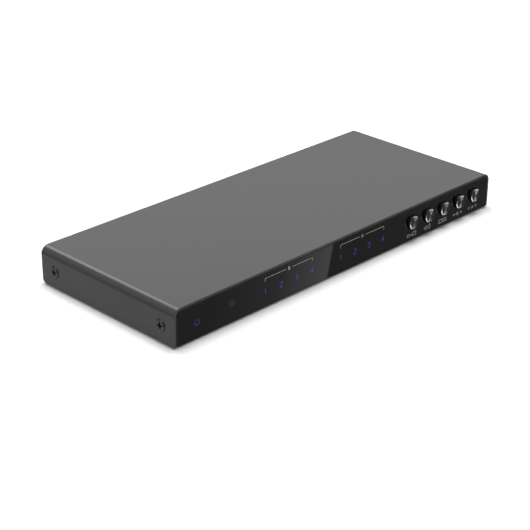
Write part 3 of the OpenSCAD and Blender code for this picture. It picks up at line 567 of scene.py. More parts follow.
def parts_in_place():
    """Sets a part at each point, aimed along the point's outward vector and turned by a seeded angle."""
    tree, start = tree_with("parts_in_place", [
        ("Geometry", "NodeSocketGeometry"), ("Part", "NodeSocketObject"), ("Turn", "NodeSocketFloat"),
        ("Seed", "NodeSocketInt"), ("Finish", "NodeSocketMaterial")])
    part = add(tree, "GeometryNodeObjectInfo", {"Object": start.outputs["Part"]})
    outward = add(tree, "GeometryNodeInputNamedAttribute", {"Name": "outward"}, data_type="FLOAT_VECTOR")
    aim = add(tree, "FunctionNodeAlignRotationToVector", {"Vector": outward.outputs[0]}, axis="Z")
    turn = add(tree, "FunctionNodeRandomValue", {3: start.outputs["Turn"], 8: start.outputs["Seed"]},
               data_type="FLOAT")
    spin = add(tree, "FunctionNodeAxisAngleToRotation", {"Axis": (0, 0, 1), "Angle": turn.outputs[1]})
    aimed = add(tree, "FunctionNodeRotateRotation", {
        "Rotation": aim.outputs[0], "Rotate By": spin.outputs[0]}, rotation_space="LOCAL")
    placed = add(tree, "GeometryNodeInstanceOnPoints", {
        "Points": start.outputs["Geometry"], "Instance": part.outputs["Geometry"],
        "Rotation": aimed.outputs[0]})
    return close_tree(tree, start, placed.outputs["Instances"])


def contact_rows():
    """A row of flat contacts along X, set at each point."""
    tree, start = tree_with("contact_rows", [
        ("Geometry", "NodeSocketGeometry"), ("Count", "NodeSocketInt"), ("Pitch", "NodeSocketFloat"),
        ("Contact size", "NodeSocketVector"), ("Finish", "NodeSocketMaterial")])
    step = add(tree, "ShaderNodeCombineXYZ", {"X": start.outputs["Pitch"]})
    line = add(tree, "GeometryNodeMeshLine", {"Count": start.outputs["Count"], "Offset": step.outputs[0]})
    strip = add(tree, "GeometryNodeMeshCube", {"Size": start.outputs["Contact size"]})
    row = add(tree, "GeometryNodeInstanceOnPoints", {
        "Points": line.outputs["Mesh"], "Instance": strip.outputs["Mesh"]})
    rows = add(tree, "GeometryNodeInstanceOnPoints", {
        "Points": start.outputs["Geometry"], "Instance": row.outputs["Instances"]})
    return close_tree(tree, start, rows.outputs["Instances"])


PARTS_IN_PLACE = parts_in_place()
CONTACT_ROWS = contact_rows()


def from_tree(tree, places, outward, settings):
    """Runs a tree on a set of points and returns the plain mesh that it makes."""
    points = bpy.data.meshes.new("places")
    points.from_pydata(places, [], [])
    aims = points.attributes.new("outward", "FLOAT_VECTOR", "POINT")
    aims.data.foreach_set("vector", [c for aim in outward for c in aim])
    holder = linked("places", points)
    modifier = holder.modifiers.new(tree.name, "NODES")
    modifier.node_group = tree
    sockets = {s.name: s.identifier for s in tree.interface.items_tree if s.in_out == "INPUT"}
    for label, value in settings.items():
        modifier[sockets[label]] = value
    return evaluated_mesh(holder)


def cross_headed(name, profile):
    """Template of a screw head with its top at z = 0 and a tapered cross recess cut into it."""
    bm = bmesh.new()
    lathe(bm, profile, Matrix.Identity(4), steps=48)
    head = linked(name, welded(name, bm))
    arm, half = RECESS_L, RECESS_W / 2
    outline = [(half, half), (half, arm), (-half, arm), (-half, half), (-arm, half), (-arm, -half),
               (-half, -half), (-half, -arm), (half, -arm), (half, -half), (arm, -half), (arm, half)]
    bm = bmesh.new()
    rows = [[bm.verts.new((x * k, y * k, z)) for x, y in outline]
            for k, z in ((RECESS_TAPER, -RECESS_D), (1.0, 0.0), (1.0, RECESS_D))]
    for low, high in zip(rows, rows[1:]):
        for i in range(len(outline)):
            bm.faces.new((low[i - 1], low[i], high[i], high[i - 1]))
    bm.faces.new(rows[0])
    bm.faces.new(rows[-1])
    cutter = linked(name + "_recess", welded(name + "_recess", bm))
    cut = head.modifiers.new("cross recess", "BOOLEAN")
    cut.operation = "DIFFERENCE"
    cut.object = cutter
    data = evaluated_mesh(head)
    bpy.data.objects.remove(cutter)
    return linked(name, data)


def screws(name, template, places, outward, seed, finish, node):
    data = from_tree(PARTS_IN_PLACE, places, outward, {
        "Part": template, "Turn": RECESS_TURN, "Seed": seed, "Finish": FINISHES[finish]})
    bpy.data.objects.remove(template)
    install(name, data, finish, HOUSING, [node], crease=30)


# Housing

def cover_screw_rows():
    """Depths of the front and the rear row of cover screws."""
    low, high = box("cover_screws")
    return low.y + SUNK_HEAD_R, high.y - SUNK_HEAD_R


def bent_cover():
    """The cover is cut flat with its screw holes, then folded down at both sides as on a press brake."""
    low, high = box("top_cover")
    flat = half_width("top_cover") - BEND_R
    bend = BEND_R * math.pi / 2
    half_blank = flat + bend + high.z - low.z - BEND_R
    screw_u = flat + bend + high.z - BEND_R - middle("cover_screws").z
    corners = [WALL_CORNER_R] * 2 + [WALL_REAR_CORNER_R] * 2
    blank = rounded(rectangle(-half_blank, low.y, half_blank, high.y), corners, 8)
    holes = [circle(side * screw_u, y, SUNK_SEAT_R, 48) for side in (-1, 1) for y in cover_screw_rows()]
    bm = bmesh.new()
    plate(bm, [blank, *holes], SHEET_T, COVER_EDGE, Matrix.Identity(4))
    bmesh.ops.remove_doubles(bm, verts=bm.verts, dist=WELD)
    for side in (-1, 1):
        for k in range(BEND_STEPS + 1):
            geometry = [*bm.verts, *bm.edges, *bm.faces]
            line = side * (flat + bend * k / BEND_STEPS)
            bmesh.ops.bisect_plane(bm, geom=geometry, dist=WELD, plane_co=(line, 0, 0), plane_no=(1, 0, 0))
    for vert in bm.verts:
        side = math.copysign(1, vert.co.x)
        along, depth = abs(vert.co.x), SHEET_T / 2 - vert.co.z
        angle = min(max(along - flat, 0) / BEND_R, math.pi / 2)
        reach = BEND_R - depth
        x = min(along, flat) + reach * math.sin(angle)
        z = high.z - BEND_R + reach * math.cos(angle) - max(along - flat - bend, 0)
        vert.co = Vector((side * x, vert.co.y, z))
    install("top_cover_shell", bm, "satin_painted_steel", HOUSING, ["top_cover"], crease=50)


def cover_screws():
    low, high = box("cover_screws")
    proud = high.x - box("top_cover")[1].x
    places = [(x, y, middle("cover_screws").z) for x in (low.x, high.x) for y in cover_screw_rows()]
    outward = [(math.copysign(1, p[0]), 0, 0) for p in places]
    root = -proud - SUNK_HEAD_H
    profile = [(0, root), (SHANK_R, root), (SUNK_HEAD_R, -proud),
               (SUNK_HEAD_R - SUNK_RIM_INSET, -SUNK_RIM_DROP),
               (SUNK_HEAD_R - SUNK_CROWN_INSET, -SUNK_CROWN_DROP), (0, 0)]
    template = cross_headed("sunk_head", eased(profile, SUNK_EASE))
    screws("cover_screw_heads", template, places, outward, seed=4, finish="black_zinc_plate",
           node="cover_screws")


def inner_outline(node):
    """Outline that the front panel and the rear panel share inside the cover, in X and Z."""
    low, high = box(node)
    radii = [PANEL_LOW_R, PANEL_LOW_R, PANEL_TOP_R, PANEL_TOP_R]
    return rounded(rectangle(low.x, low.z, high.x, high.z), radii, 8)


def round_hole(node, gap, side=1):
    """Hole round a turned node, in the axes of the front (side 1) or the rear (side -1)."""
    spot = middle(node)
    return circle(side * spot.x, spot.z, half_width(node) + gap)


def front_panel():
    low, high = box("front_fascia")
    holes = [round_hole("ir_window", WINDOW_GAP)]
    holes += [round_hole(name + "_button_face", HOLE_GAP) for name in BUTTONS]
    bm = bmesh.new()
    slab(bm, FRONT, [inner_outline("front_fascia"), *holes], low.y, high.y, FASCIA_EDGE)
    install("front_panel", bm, "black_acrylic", HOUSING, ["front_fascia"], crease=50)


def infrared_window():
    low, high = box("ir_window")
    spot, radius, depth = middle("ir_window"), half_width("ir_window"), high.y - low.y
    profile = eased([(0, -depth), (radius, -depth), (radius, 0), (0, 0)], WINDOW_EASE)
    turned("infrared_window", profile, facing(FRONT, (spot.x, low.y, spot.z)), "infrared_acrylic", HOUSING,
           ["ir_window"])


def buttons():
    """Each button is a moulded black shaft with a metal disc on its front: a dished, turned face in a
    bright-cut rim. Returns the faces and the rims."""
    faces, rims = [], []
    for name in BUTTONS:
        body, face_node, shaft_node = name + "_button", name + "_button_face", name + "_button_body"
        low, high = box(face_node)
        spot, radius, disc_t = middle(face_node), half_width(face_node), high.y - low.y
        flange_r, shaft_l = half_width(shaft_node), box(shaft_node)[1].y - low.y
        flange = shaft_l - BUTTON_PAD_L
        face_r = radius - BUTTON_CHAMFER
        face = [(0, -BUTTON_DISH), (radius * BUTTON_DISH_TURN, -BUTTON_DISH * BUTTON_DISH_TURN),
                (face_r - BUTTON_LIP, 0), (face_r, 0), (face_r, -BUTTON_CHAMFER), (0, -BUTTON_CHAMFER)]
        rim = [(0, -BUTTON_CHAMFER), (face_r, -BUTTON_CHAMFER), (face_r, 0), (radius, -BUTTON_CHAMFER),
               (radius, -disc_t), (0, -disc_t)]
        shaft = [(0, -disc_t), (radius, -disc_t), (radius, -flange + BUTTON_FLANGE_T),
                 (flange_r, -flange + BUTTON_FLANGE_T), (flange_r, -flange), (BUTTON_PAD_R, -flange),
                 (BUTTON_PAD_R, -shaft_l), (0, -shaft_l)]
        place = facing(FRONT, (spot.x, low.y, spot.z))
        faces.append(turned(name + "_disc", face, place, "spun_aluminium", body,
                            [face_node], crease=35, steps=BUTTON_STEPS))
        rims.append(turned(name + "_rim", rim, place, "bright_cut_aluminium", body, crease=35,
                           steps=BUTTON_STEPS))
        turned(name + "_shaft", eased(shaft, BUTTON_EASE), place, "moulded_black_abs", body,
               [shaft_node], steps=BUTTON_STEPS)
    return faces, rims


def digit_rows():
    """Middle of each row of digits, left then right, with the row's letter."""
    return [(middle("left_light_shroud"), "B"), (middle("right_light_shroud"), "A")]


def printed_marks():
    """White prints on the front panel: a bracket with a letter over each row and a mark under each button."""
    front = box("front_fascia")[0].y
    bm = bmesh.new()
    for row, letter in digit_rows():
        place = facing(FRONT, (row.x, front, row.z))
        top, half, gap = BRACKET_RISE, BRACKET_W / 2, BRACKET_GAP / 2
        for side in (-1, 1):
            corner = arc(side * (half - BRACKET_R), top - BRACKET_R, BRACKET_R, 90, 90 - side * 90, 6)
            stroke(bm, [(side * gap, top), *corner, (side * half, top - BRACKET_DROP)], BRACKET_LINE, place)
        sign(bm, letter, BRACKET_LETTER_H, place @ Matrix.Translation((0, top, 0)))
    for name in BUTTONS:
        spot = middle(name + "_button_face")
        button_mark(bm, name, facing(FRONT, (spot.x, front, spot.z - MARK_DROP)))
    install("front_prints", bm, "white_ink")


def button_mark(bm, name, place):
    """A small pictogram: a frame that grows, a loudspeaker, two screens, or a letter between two arrows."""
    if name == "scaler":
        stroke(bm, rectangle(-3.2, -0.8, -1.5, 0.4), MARK_LINE, place, closed=True)
        stroke(bm, [(-1.0, -0.2), (0.4, -0.2)], MARK_LINE, place)
        stroke(bm, [(-0.1, 0.35), (0.45, -0.2), (-0.1, -0.75)], MARK_LINE, place)
        stroke(bm, rectangle(0.9, -0.8, 3.2, 0.9), MARK_LINE, place, closed=True)
    elif name == "audio":
        stroke(bm, [(-2.2, -0.4), (-2.2, 0.4), (-1.5, 0.4), (-0.6, 0.95), (-0.6, -0.95), (-1.5, -0.4)],
               MARK_LINE, place, closed=True)
        for reach in (1.0, 1.9, 2.8):
            stroke(bm, arc(-0.6, 0, reach, -34, 34, 8), MARK_LINE, place)
    elif name == "mode":
        for x in (-1.6, 1.6):
            stroke(bm, rectangle(x - 1.3, -0.85, x + 1.3, 0.85), MARK_LINE, place, closed=True)
        stroke(bm, [(1.6, -0.85), (1.6, 0.85)], MARK_LINE, place)
    else:
        sign(bm, name[-1].upper(), MARK_LETTER_H, place)
        for side in (-1, 1):
            stroke(bm, [(side * 1.5, 0), (side * 3.3, 0)], MARK_LINE, place)
            stroke(bm, [(side * 2.6, 0.7), (side * 3.4, 0), (side * 2.6, -0.7)], MARK_LINE, place)


def digit_path(number):
    """Line of a plain digit, one unit high and centred."""
    return [
        [(-0.2, 0.26), (0.06, 0.5), (0.06, -0.5)],
        [*arc(0, 0.22, 0.28, 165, -35, 14), (-0.3, -0.5), (0.3, -0.5)],
        [*arc(-0.02, 0.25, 0.25, 168, -80, 12), *arc(-0.02, -0.24, 0.26, 80, -168, 12)],
        [(0.12, -0.5), (0.12, 0.5), (-0.3, -0.2), (0.32, -0.2)],
    ][number - 1]


def lit_signs():
    """Digits and the power sign, lit from behind through the front panel."""
    front = box("front_fascia")[0].y
    bm = bmesh.new()
    for row, _ in digit_rows():
        for i in range(DIGIT_N):
            x = row.x + (i - (DIGIT_N - 1) / 2) * DIGIT_PITCH
            path = [Vector((u * DIGIT_STRETCH, v)) * DIGIT_H for u, v in digit_path(i + 1)]
            stroke(bm, path, DIGIT_LINE, facing(FRONT, (x, front, row.z)))
    power = middle("power_light_guide")
    place = facing(FRONT, (power.x, front, power.z))
    stroke(bm, arc(0, 0, POWER_R, 90 + POWER_GAP, 450 - POWER_GAP, 36), POWER_LINE, place)
    stroke(bm, [(0, POWER_BAR_LOW), (0, POWER_BAR_TOP)], POWER_LINE, place)
    install("lit_signs", bm, "lit_blue_film")


def rubber_feet():
    low, high = box("rubber_feet")
    sole = box("top_cover")[0].z
    seat = sole + TRAY_T
    tip = seat + FOOT_LIP_H
    profile = [(0, FOOT_HOLLOW), (FOOT_PAD_R - 2 * FOOT_EDGE, 0.0), (FOOT_PAD_R, FOOT_EDGE),
               (FOOT_PAD_R, sole), (FOOT_NECK_R, sole), (FOOT_NECK_R, seat), (FOOT_LIP_R, seat),
               (FOOT_NECK_R, tip), (0, tip)]
    bm = bmesh.new()
    for x in (low.x + FOOT_PAD_R, high.x - FOOT_PAD_R):
        for y in (low.y + FOOT_PAD_R, high.y - FOOT_PAD_R):
            lathe(bm, eased(profile, FOOT_EASE), Matrix.Translation((x, y, 0)))
    install("foot_pads", bm, "silicone_rubber", HOUSING, ["rubber_feet"])


# Rear

def socket_places(node, count):
    """Middle across and floor of each video socket in a group."""
    low, high = box(node)
    step = (high.x - low.x - SHELL_W) / (count - 1)
    return [(low.x + SHELL_W / 2 + i * step, low.z + SHELL_T) for i in range(count)]


def socket_outline(node, x, z, grow):
    """Opening of a video socket in the rear's own axes, grown all round."""
    low, high = box(node)
    half, height = SHELL_W / 2 - SHELL_T + grow, high.z - low.z - 2 * SHELL_T
    points = [(SHELL_SLOPE_W - half, -grow), (half - SHELL_SLOPE_W, -grow), (half, SHELL_SLOPE_H - grow),
              (half, height + grow), (-half, height + grow), (-half, SHELL_SLOPE_H - grow)]
    return rounded([(px - x, pz + z) for px, pz in points], SHELL_CORNER_R + max(grow, 0), 4)


def jack_outline(node, grow, radius):
    """Outline of a jack's box in the rear's own axes, grown all round."""
    low, high = box(node)
    return rounded(rectangle(-high.x - grow, low.z - grow, -low.x + grow, high.z + grow), radius, 4)


def rear_screw_places(y):
    reach = box("top_cover")[1].x - PANEL_SCREW_INSET
    return [(side * reach, y, middle("rear_panel_screws").z) for side in (-1, 1)]


def rear_plate():
    low, high = box("rear_panel")
    holes = []
    for group, count in VIDEO_GROUPS:
        node = group + "_shells"
        holes += [socket_outline(node, x, z, SHELL_T + CUTOUT_GAP) for x, z in socket_places(node, count)]
    holes += [jack_outline(node, CUTOUT_GAP, JACK_CORNER_R) for node in ("dc_jack_body", "optical_jack_body")]
    holes.append(round_hole("audio_jack_bush", CUTOUT_GAP, side=-1))
    holes += [circle(x, z, SHANK_R + SHANK_GAP, 32) for x, _, z in rear_screw_places(0)]
    bm = bmesh.new()
    slab(bm, REAR, [inner_outline("rear_panel"), *holes], low.y, high.y, PANEL_EDGE)
    install("rear_plate", bm, "powder_coated_steel", HOUSING, ["rear_panel"], crease=50)


def rear_screws():
    places = rear_screw_places(box("rear_panel")[1].y + PAN_HEAD_H)
    tip = -PAN_HEAD_H - SHANK_L
    profile = [(0, tip), (SHANK_R, tip), (SHANK_R, -PAN_HEAD_H), (PAN_HEAD_R, -PAN_HEAD_H),
               (PAN_HEAD_R, -PAN_CROWN_DROP), (PAN_HEAD_R - PAN_CROWN_INSET, 0), (0, 0)]
    template = cross_headed("pan_head", eased(profile, PAN_EASE))
    screws("rear_screw_heads", template, places, [(0, 1, 0)] * 2, seed=9, finish="blackened_steel",
           node="rear_panel_screws")


def rear_prints():
    """White prints under the rear sockets: numbers or letters with arrows in or out, and pictograms."""
    face, z = box("rear_panel")[1].y, box("rear_panel")[0].z + REAR_MARK_RISE
    bm = bmesh.new()
    for (group, count), names, way in zip(VIDEO_GROUPS, ("4321", "BA"), (1, -1)):
        for (x, _), name in zip(socket_places(group + "_shells", count), names):
            place = facing(REAR, (x, face, z))
            sign(bm, name, BRACKET_LETTER_H, place @ Matrix.Translation((1, 0, 0)))
            stroke(bm, [(-1.6, -1), (-1.6, 1)], MARK_LINE, place)
            stroke(bm, [(-2.3, way * 0.3), (-1.6, way), (-0.9, way * 0.3)], MARK_LINE, place)
    button_mark(bm, "audio", facing(REAR, (middle("audio_jack_bush").x, face, z)))
    place = facing(REAR, (middle("optical_jack_body").x, face, z))
    source = Vector((-1.4, 0))
    stroke(bm, circle(*source, 0.7, 24), MARK_LINE, place, closed=True)
    for turn in (-35, 0, 35):
        slope = Vector((math.cos(math.radians(turn)), math.sin(math.radians(turn))))
        stroke(bm, [source + slope * 1.3, source + slope * 3], MARK_LINE, place)
    place = facing(REAR, (middle("dc_jack_body").x, face, z))
    stroke(bm, arc(0, 0, 1, 55, 305), MARK_LINE, place)
    stroke(bm, circle(0, 0, 0.2, 12), MARK_LINE, place, closed=True)
    for start, end in ((0.3, 2.4), (-2.4, -1), (-3.9, -3), (3, 4)):
        stroke(bm, [(start, 0), (end, 0)], MARK_LINE, place)
    stroke(bm, [(3.5, -0.5), (3.5, 0.5)], MARK_LINE, place)
    install("rear_prints", bm, "white_ink")


def video_sockets():
    """Folded nickel shells with leaf springs, and black cores with rows of gold contacts."""
    for group, count in VIDEO_GROUPS:
        node, core_node = group + "_shells", group + "_cores"
        low, high = box(node)
        ceiling = high.z - SHELL_T
        spots = socket_places(node, count)
        bm = bmesh.new()
        for x, z in spots:
            loops = [socket_outline(node, x, z, SHELL_T), socket_outline(node, x, z, 0)]
            slab(bm, REAR, loops, low.y, high.y, SHELL_EDGE)
            for side in (-1, 1):
                leaf_spring(bm, x + side * SPRING_X, high.y, ceiling)
        install(group + "_socket_shells", bm, "nickel_plate", HOUSING, [node])
        core_low, core_high = box(core_node)
        root = core_low.y + CORE_L
        bm = bmesh.new()
        for x, z in spots:
            slab(bm, REAR, [socket_outline(node, x, z, -CORE_GAP)], core_low.y, root, CORE_EDGE)
            mid_z, half_w, half_t = z + TONGUE_Z, TONGUE_W / 2, TONGUE_T / 2
            edges = rectangle(-x - half_w, mid_z - half_t, -x + half_w, mid_z + half_t)
            slab(bm, REAR, [rounded(edges, TONGUE_CORNER_R, 3)], root, core_high.y, TONGUE_EDGE)
        install(group + "_socket_cores", bm, "glass_filled_nylon", HOUSING, [core_node])
        gold_contacts(group, spots, core_high.y)


def leaf_spring(bm, x, mouth, ceiling):
    """A sprung tongue pressed out of the shell's upper wall, bowed towards the plug."""
    left, right = x - SPRING_W / 2, x + SPRING_W / 2
    rows = []
    for k in range(SPRING_STEPS + 1):
        t = k / SPRING_STEPS
        y = mouth - SPRING_SETBACK - SPRING_L * t
        top = ceiling - SPRING_SINK - SPRING_BOW * math.sin(math.pi * t)
        section = rectangle(left, top, right, top - SPRING_T)
        rows.append([bm.verts.new((u, y, z)) for u, z in section])
    for a, b in zip(rows, rows[1:]):
        for i in range(4):
            bm.faces.new((a[i - 1], a[i], b[i], b[i - 1]))
    bm.faces.new(rows[0])
    bm.faces.new(rows[-1])


def gold_contacts(group, spots, tip):
    """Ten contacts above and nine below each tongue."""
    y = tip - CONTACT_SETBACK - CONTACT_SIZE.y / 2
    bm = bmesh.new()
    for count, side in ((10, 1), (9, -1)):
        places = [(x - (count - 1) / 2 * CONTACT_PITCH, y, z + TONGUE_Z + side * TONGUE_T / 2)
                  for x, z in spots]
        row = from_tree(CONTACT_ROWS, places, [(0, 1, 0)] * len(places), {
            "Count": count, "Pitch": CONTACT_PITCH, "Contact size": CONTACT_SIZE,
            "Finish": FINISHES["gold_flash"]})
        take_in(bm, row)
    install(group + "_contacts", bm, "gold_flash")


def power_jack():
    low, high = box("dc_jack_body")
    spot = middle("dc_jack_body")
    edges = jack_outline("dc_jack_body", 0, JACK_CORNER_R)
    floor_y = high.y - JACK_BORE_L
    bm = bmesh.new()
    slab(bm, REAR, [edges, circle(-spot.x, spot.z, JACK_BORE_R)], floor_y, high.y, JACK_EDGE)
    slab(bm, REAR, [edges], low.y, floor_y, JACK_EDGE)
    install("power_jack_case", bm, "glass_filled_nylon", HOUSING, ["dc_jack_body"])
    pin_low, pin_high = box("dc_jack_pin")
    pin_r, pin_l = half_width("dc_jack_pin"), pin_high.y - pin_low.y
    root_r = pin_r * PIN_ROOT
    profile = [(0, -pin_l), (root_r, -pin_l), (root_r, -JACK_BORE_L * PIN_STEP_LOW),
               (pin_r, -JACK_BORE_L * PIN_STEP_TOP), (pin_r, -PIN_TIP_L), (pin_r * PIN_TIP, 0), (0, 0)]
    turned("power_jack_pin", eased(profile, PIN_EASE), facing(REAR, (spot.x, pin_high.y, spot.z)),
           "nickel_plate", HOUSING, ["dc_jack_pin"], steps=32)


def audio_jack():
    low, high = box("audio_jack_bush")
    spot, outer, length = middle("audio_jack_bush"), half_width("audio_jack_bush"), high.y - low.y
    profile = [(BUSH_BORE_R, -length), (outer, -length), (outer, -BUSH_EDGE), (outer - BUSH_EDGE, 0),
               (BUSH_BORE_R + BUSH_LEAD, 0), (BUSH_BORE_R, -BUSH_LEAD), (BUSH_BORE_R, -length)]
    turned("audio_jack_ring", eased(profile, BUSH_EASE), facing(REAR, (spot.x, high.y, spot.z)),
           "nickel_plate", HOUSING, ["audio_jack_bush"])


def optical_jack():
    node = "optical_jack_body"
    low, high = box(node)
    edges = jack_outline(node, 0, OPTICAL_CORNER_R)
    cavity = jack_outline(node, -OPTICAL_WALL, OPTICAL_CAVITY_CORNER_R)
    floor_y = high.y - OPTICAL_CAVITY_L
    bm = bmesh.new()
    slab(bm, REAR, [edges, cavity], floor_y, high.y, OPTICAL_EDGE)
    slab(bm, REAR, [edges], low.y, floor_y, OPTICAL_EDGE)
    install("optical_jack_case", bm, "glass_filled_nylon", HOUSING, [node])


def shutter():
    """Dust flap of the optical jack with a pivot at each side of its upper edge."""
    low, high = box("optical_shutter")
    spot, thick = middle("optical_shutter"), high.y - low.y
    half = half_width("optical_jack_body") - OPTICAL_WALL - FLAP_GAP
    pin_r, pin_l = thick / 2, half_width("optical_shutter") - half
    outline = rounded(rectangle(-spot.x - half, low.z, -spot.x + half, high.z), FLAP_CORNER_R, 4)
    bm = bmesh.new()
    slab(bm, REAR, [outline], low.y, high.y, FLAP_EDGE)
    pin = eased([(0, 0), (pin_r, 0), (pin_r, pin_l), (0, pin_l)], FLAP_PIN_EASE)
    for side, axes in ((-1, LEFT), (1, RIGHT)):
        lathe(bm, pin, facing(axes, (spot.x + side * half, spot.y, high.z - pin_r)), steps=24)
    install("shutter_flap", bm, "moulded_black_abs", "shutter", ["optical_shutter"])


# CAD nodes that keep their own mesh and get a finish

KEPT_NODES = {
    "powder_coated_steel": ["bottom_tray"],
    "foam_tape": ["fascia_tape"],
    "solder_mask": ["front_board", "main_board"],
    "bright_steel": ["front_board_spacers", "front_board_screws", "board_standoffs", "board_screws"],
    "moulded_black_abs": ["left_light_shroud", "right_light_shroud"]
    + [name + "_switch_case" for name in BUTTONS],
    "clear_acrylic": ["digit_light_guides", "power_light_guide"],
    "epoxy_lens": ["indicator_leds"],
    "infrared_acrylic": ["ir_receiver"],
    "ivory_nylon": ["front_ribbon_socket", "main_ribbon_socket"],
    "polyester_film": ["ribbon_cable"],
    "chip_epoxy": ["video_processor", "interface_chips"],
    "thermal_silicone": ["thermal_pad"],
    "anodised_aluminium": ["heat_sink"],
    "capacitor_sleeve": ["filter_capacitors"],
    "phenolic": [name + "_switch_plunger" for name in BUTTONS],
    "glass_filled_nylon": ["audio_jack_body"],
}


def dress_kept_nodes():
    for finish, nodes in KEPT_NODES.items():
        for node in nodes:
            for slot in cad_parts[node].material_slots:
                slot.material = FINISHES[finish]


# Stage: floor, lamps and camera in metres, cards and flags in millimetres

FLOOR_R = 4.0
FLOOR_COLOUR = "#F3F3F3"
FLOOR_LIFT = 0.09
FLOOR_NEAR = 0.35
FLOOR_FAR = 1.3
AMBIENT = 0.15
HORIZON_R = 1.5
HORIZON_H = 0.42
STAGE_STEPS = 96
CARD_GAP = 0.3
CARD_LIFT = 0.25
CARD_REACH = 1200.0
CARD_SIDE = 0.886
LEFT_CARD_FRONT = -300.0
LEFT_CARD_REAR = 900.0
LEFT_CARD_FADE = 300.0
LEFT_CARD_TONES = [(0, "#CFCFCF"), (0.13, "#CFCFCF"), (0.145, "#080808"), (0.3, "#080808"),
                   (0.45, "#363636"), (1, "#363636")]
PATCH_SLANT = 1.294
PATCH_EDGE = -70.45
PATCH_FADE = 80.0
PATCH_TONES = [(0, "#858585"), (0.55, "#A1A1A1"), (0.985, "#ECECEC"), (1, "#7F7F7F")]
RIM_GLOW_LEFT = 7.0
RIM_GLOW_FRONT = 8.4
RIM_GLOW_LIFT = 0.3
CAMERA_PLACE = (-0.46412, -0.44785, 0.29776)
CAMERA_AZIMUTH = -45.46756
CAMERA_ELEVATION = 25.65334
CAMERA_ROLL = 0.3067
CAMERA_LENS = 99.786
SENSOR = 36.0


def seen_directly(tree):
    """1 for rays from the camera, from a reflection or through glass, and 0 for light on a surface."""
    path = add(tree, "ShaderNodeLightPath")
    either = add(tree, "ShaderNodeMath", {
        0: path.outputs["Is Camera Ray"], 1: path.outputs["Is Glossy Ray"]}, operation="MAXIMUM")
    return add(tree, "ShaderNodeMath", {
        0: either.outputs[0], 1: path.outputs["Is Transmission Ray"]}, operation="MAXIMUM").outputs[0]


def plain_world():
    """White where it is seen, and a low even light elsewhere."""
    world = bpy.data.worlds.new("studio")
    world.use_nodes = True
    tree = world.node_tree
    strength = add(tree, "ShaderNodeMapRange", {"Value": seen_directly(tree), "To Min": AMBIENT})
    background = tree.nodes["Background"]
    background.inputs["Color"].default_value = (1, 1, 1, 1)
    tree.links.new(strength.outputs["Result"], background.inputs["Strength"])
    bpy.context.scene.world = world


def stage_material(name):
    made = bpy.data.materials.new(name)
    made.use_nodes = True
    made.node_tree.nodes.remove(made.node_tree.nodes["Principled BSDF"])
    return made, made.node_tree, made.node_tree.nodes["Material Output"]


def stage_piece(name, bm, finish):
    data = bpy.data.meshes.new(name)
    bm.to_mesh(data)
    bm.free()
    data.materials.append(finish)
    return linked(name, data)


def floor():
    """Pale matt floor that shows white where nothing shades it, and as far as it reaches."""
    finish, tree, output = stage_material("pale_floor")
    matt = add(tree, "ShaderNodeBsdfDiffuse", {"Color": srgb(FLOOR_COLOUR)})
    place = add(tree, "ShaderNodeTexCoord")
    distance = add(tree, "ShaderNodeVectorMath", {0: place.outputs["Object"]}, operation="LENGTH")
    lift = add(tree, "ShaderNodeMapRange", {
        "Value": distance.outputs["Value"], "From Min": FLOOR_NEAR, "From Max": FLOOR_FAR,
        "To Min": FLOOR_LIFT})
    seen = add(tree, "ShaderNodeMath", {0: seen_directly(tree), 1: lift.outputs["Result"]},
               operation="MULTIPLY")
    glow = add(tree, "ShaderNodeEmission", {"Strength": seen.outputs[0]})
    both = add(tree, "ShaderNodeAddShader", {0: matt.outputs[0], 1: glow.outputs[0]})
    tree.links.new(both.outputs[0], output.inputs["Surface"])
    bm = bmesh.new()
    bmesh.ops.create_circle(bm, cap_ends=True, segments=STAGE_STEPS, radius=FLOOR_R)
    stage_piece("floor", bm, finish)


def for_reflections_only(thing):
    for kind in ("camera", "diffuse", "transmission", "volume_scatter", "shadow"):
        setattr(thing, "visible_" + kind, False)


def even_grey(name, colour):
    """Finish of a flag: one grey all over."""
    finish, tree, output = stage_material(name)
    grey = add(tree, "ShaderNodeEmission", {"Color": srgb(colour)})
    tree.links.new(grey.outputs[0], output.inputs["Surface"])
    return finish


def horizon_flag():
    """Dark cloth round the set, which only reflections see: it draws the bends and upright edges."""
    bm = bmesh.new()
    lathe(bm, [(HORIZON_R, 0), (HORIZON_R, HORIZON_H)], Matrix.Identity(4), STAGE_STEPS)
    for_reflections_only(stage_piece("horizon_flag", bm, even_grey("black_cloth", "#141414")))


def card(name, corners, finish):
    """A flat card that only reflections see, given by its four corners in millimetres."""
    data = bpy.data.meshes.new(name)
    data.from_pydata([Vector(c) * MM for c in corners], [], [range(4)])
    data.materials.append(finish)
    for_reflections_only(linked(name, data))


def flag(name, colour, start, end, height):
    """An upright card of one grey, along a line on the floor."""
    corners = [(*start, 0), (*end, 0), (*end, height), (*start, height)]
    card(name, corners, even_grey(name, colour))


def floor_card(name, corners, direction, start, end, tones):
    """A card just over the floor whose tones run along direction, from start to end in millimetres."""
    finish, tree, output = stage_material(name)
    place = add(tree, "ShaderNodeTexCoord")
    reach = add(tree, "ShaderNodeVectorMath", {0: place.outputs["Object"], 1: direction},
                operation="DOT_PRODUCT")
    along = add(tree, "ShaderNodeMapRange", {
        "Value": reach.outputs["Value"], "From Min": start * MM, "From Max": end * MM})
    ramp = add(tree, "ShaderNodeValToRGB", {"Fac": along.outputs["Result"]})
    stops = ramp.color_ramp.elements
    stops[0].color, stops[1].color = srgb(tones[0][1]), srgb(tones[-1][1])
    for position, tone in tones[1:-1]:
        stops.new(position).color = srgb(tone)
    glow = add(tree, "ShaderNodeEmission", {"Color": ramp.outputs["Color"]})
    tree.links.new(glow.outputs[0], output.inputs["Surface"])
    card(name, [(x, y, CARD_LIFT) for x, y in corners], finish)


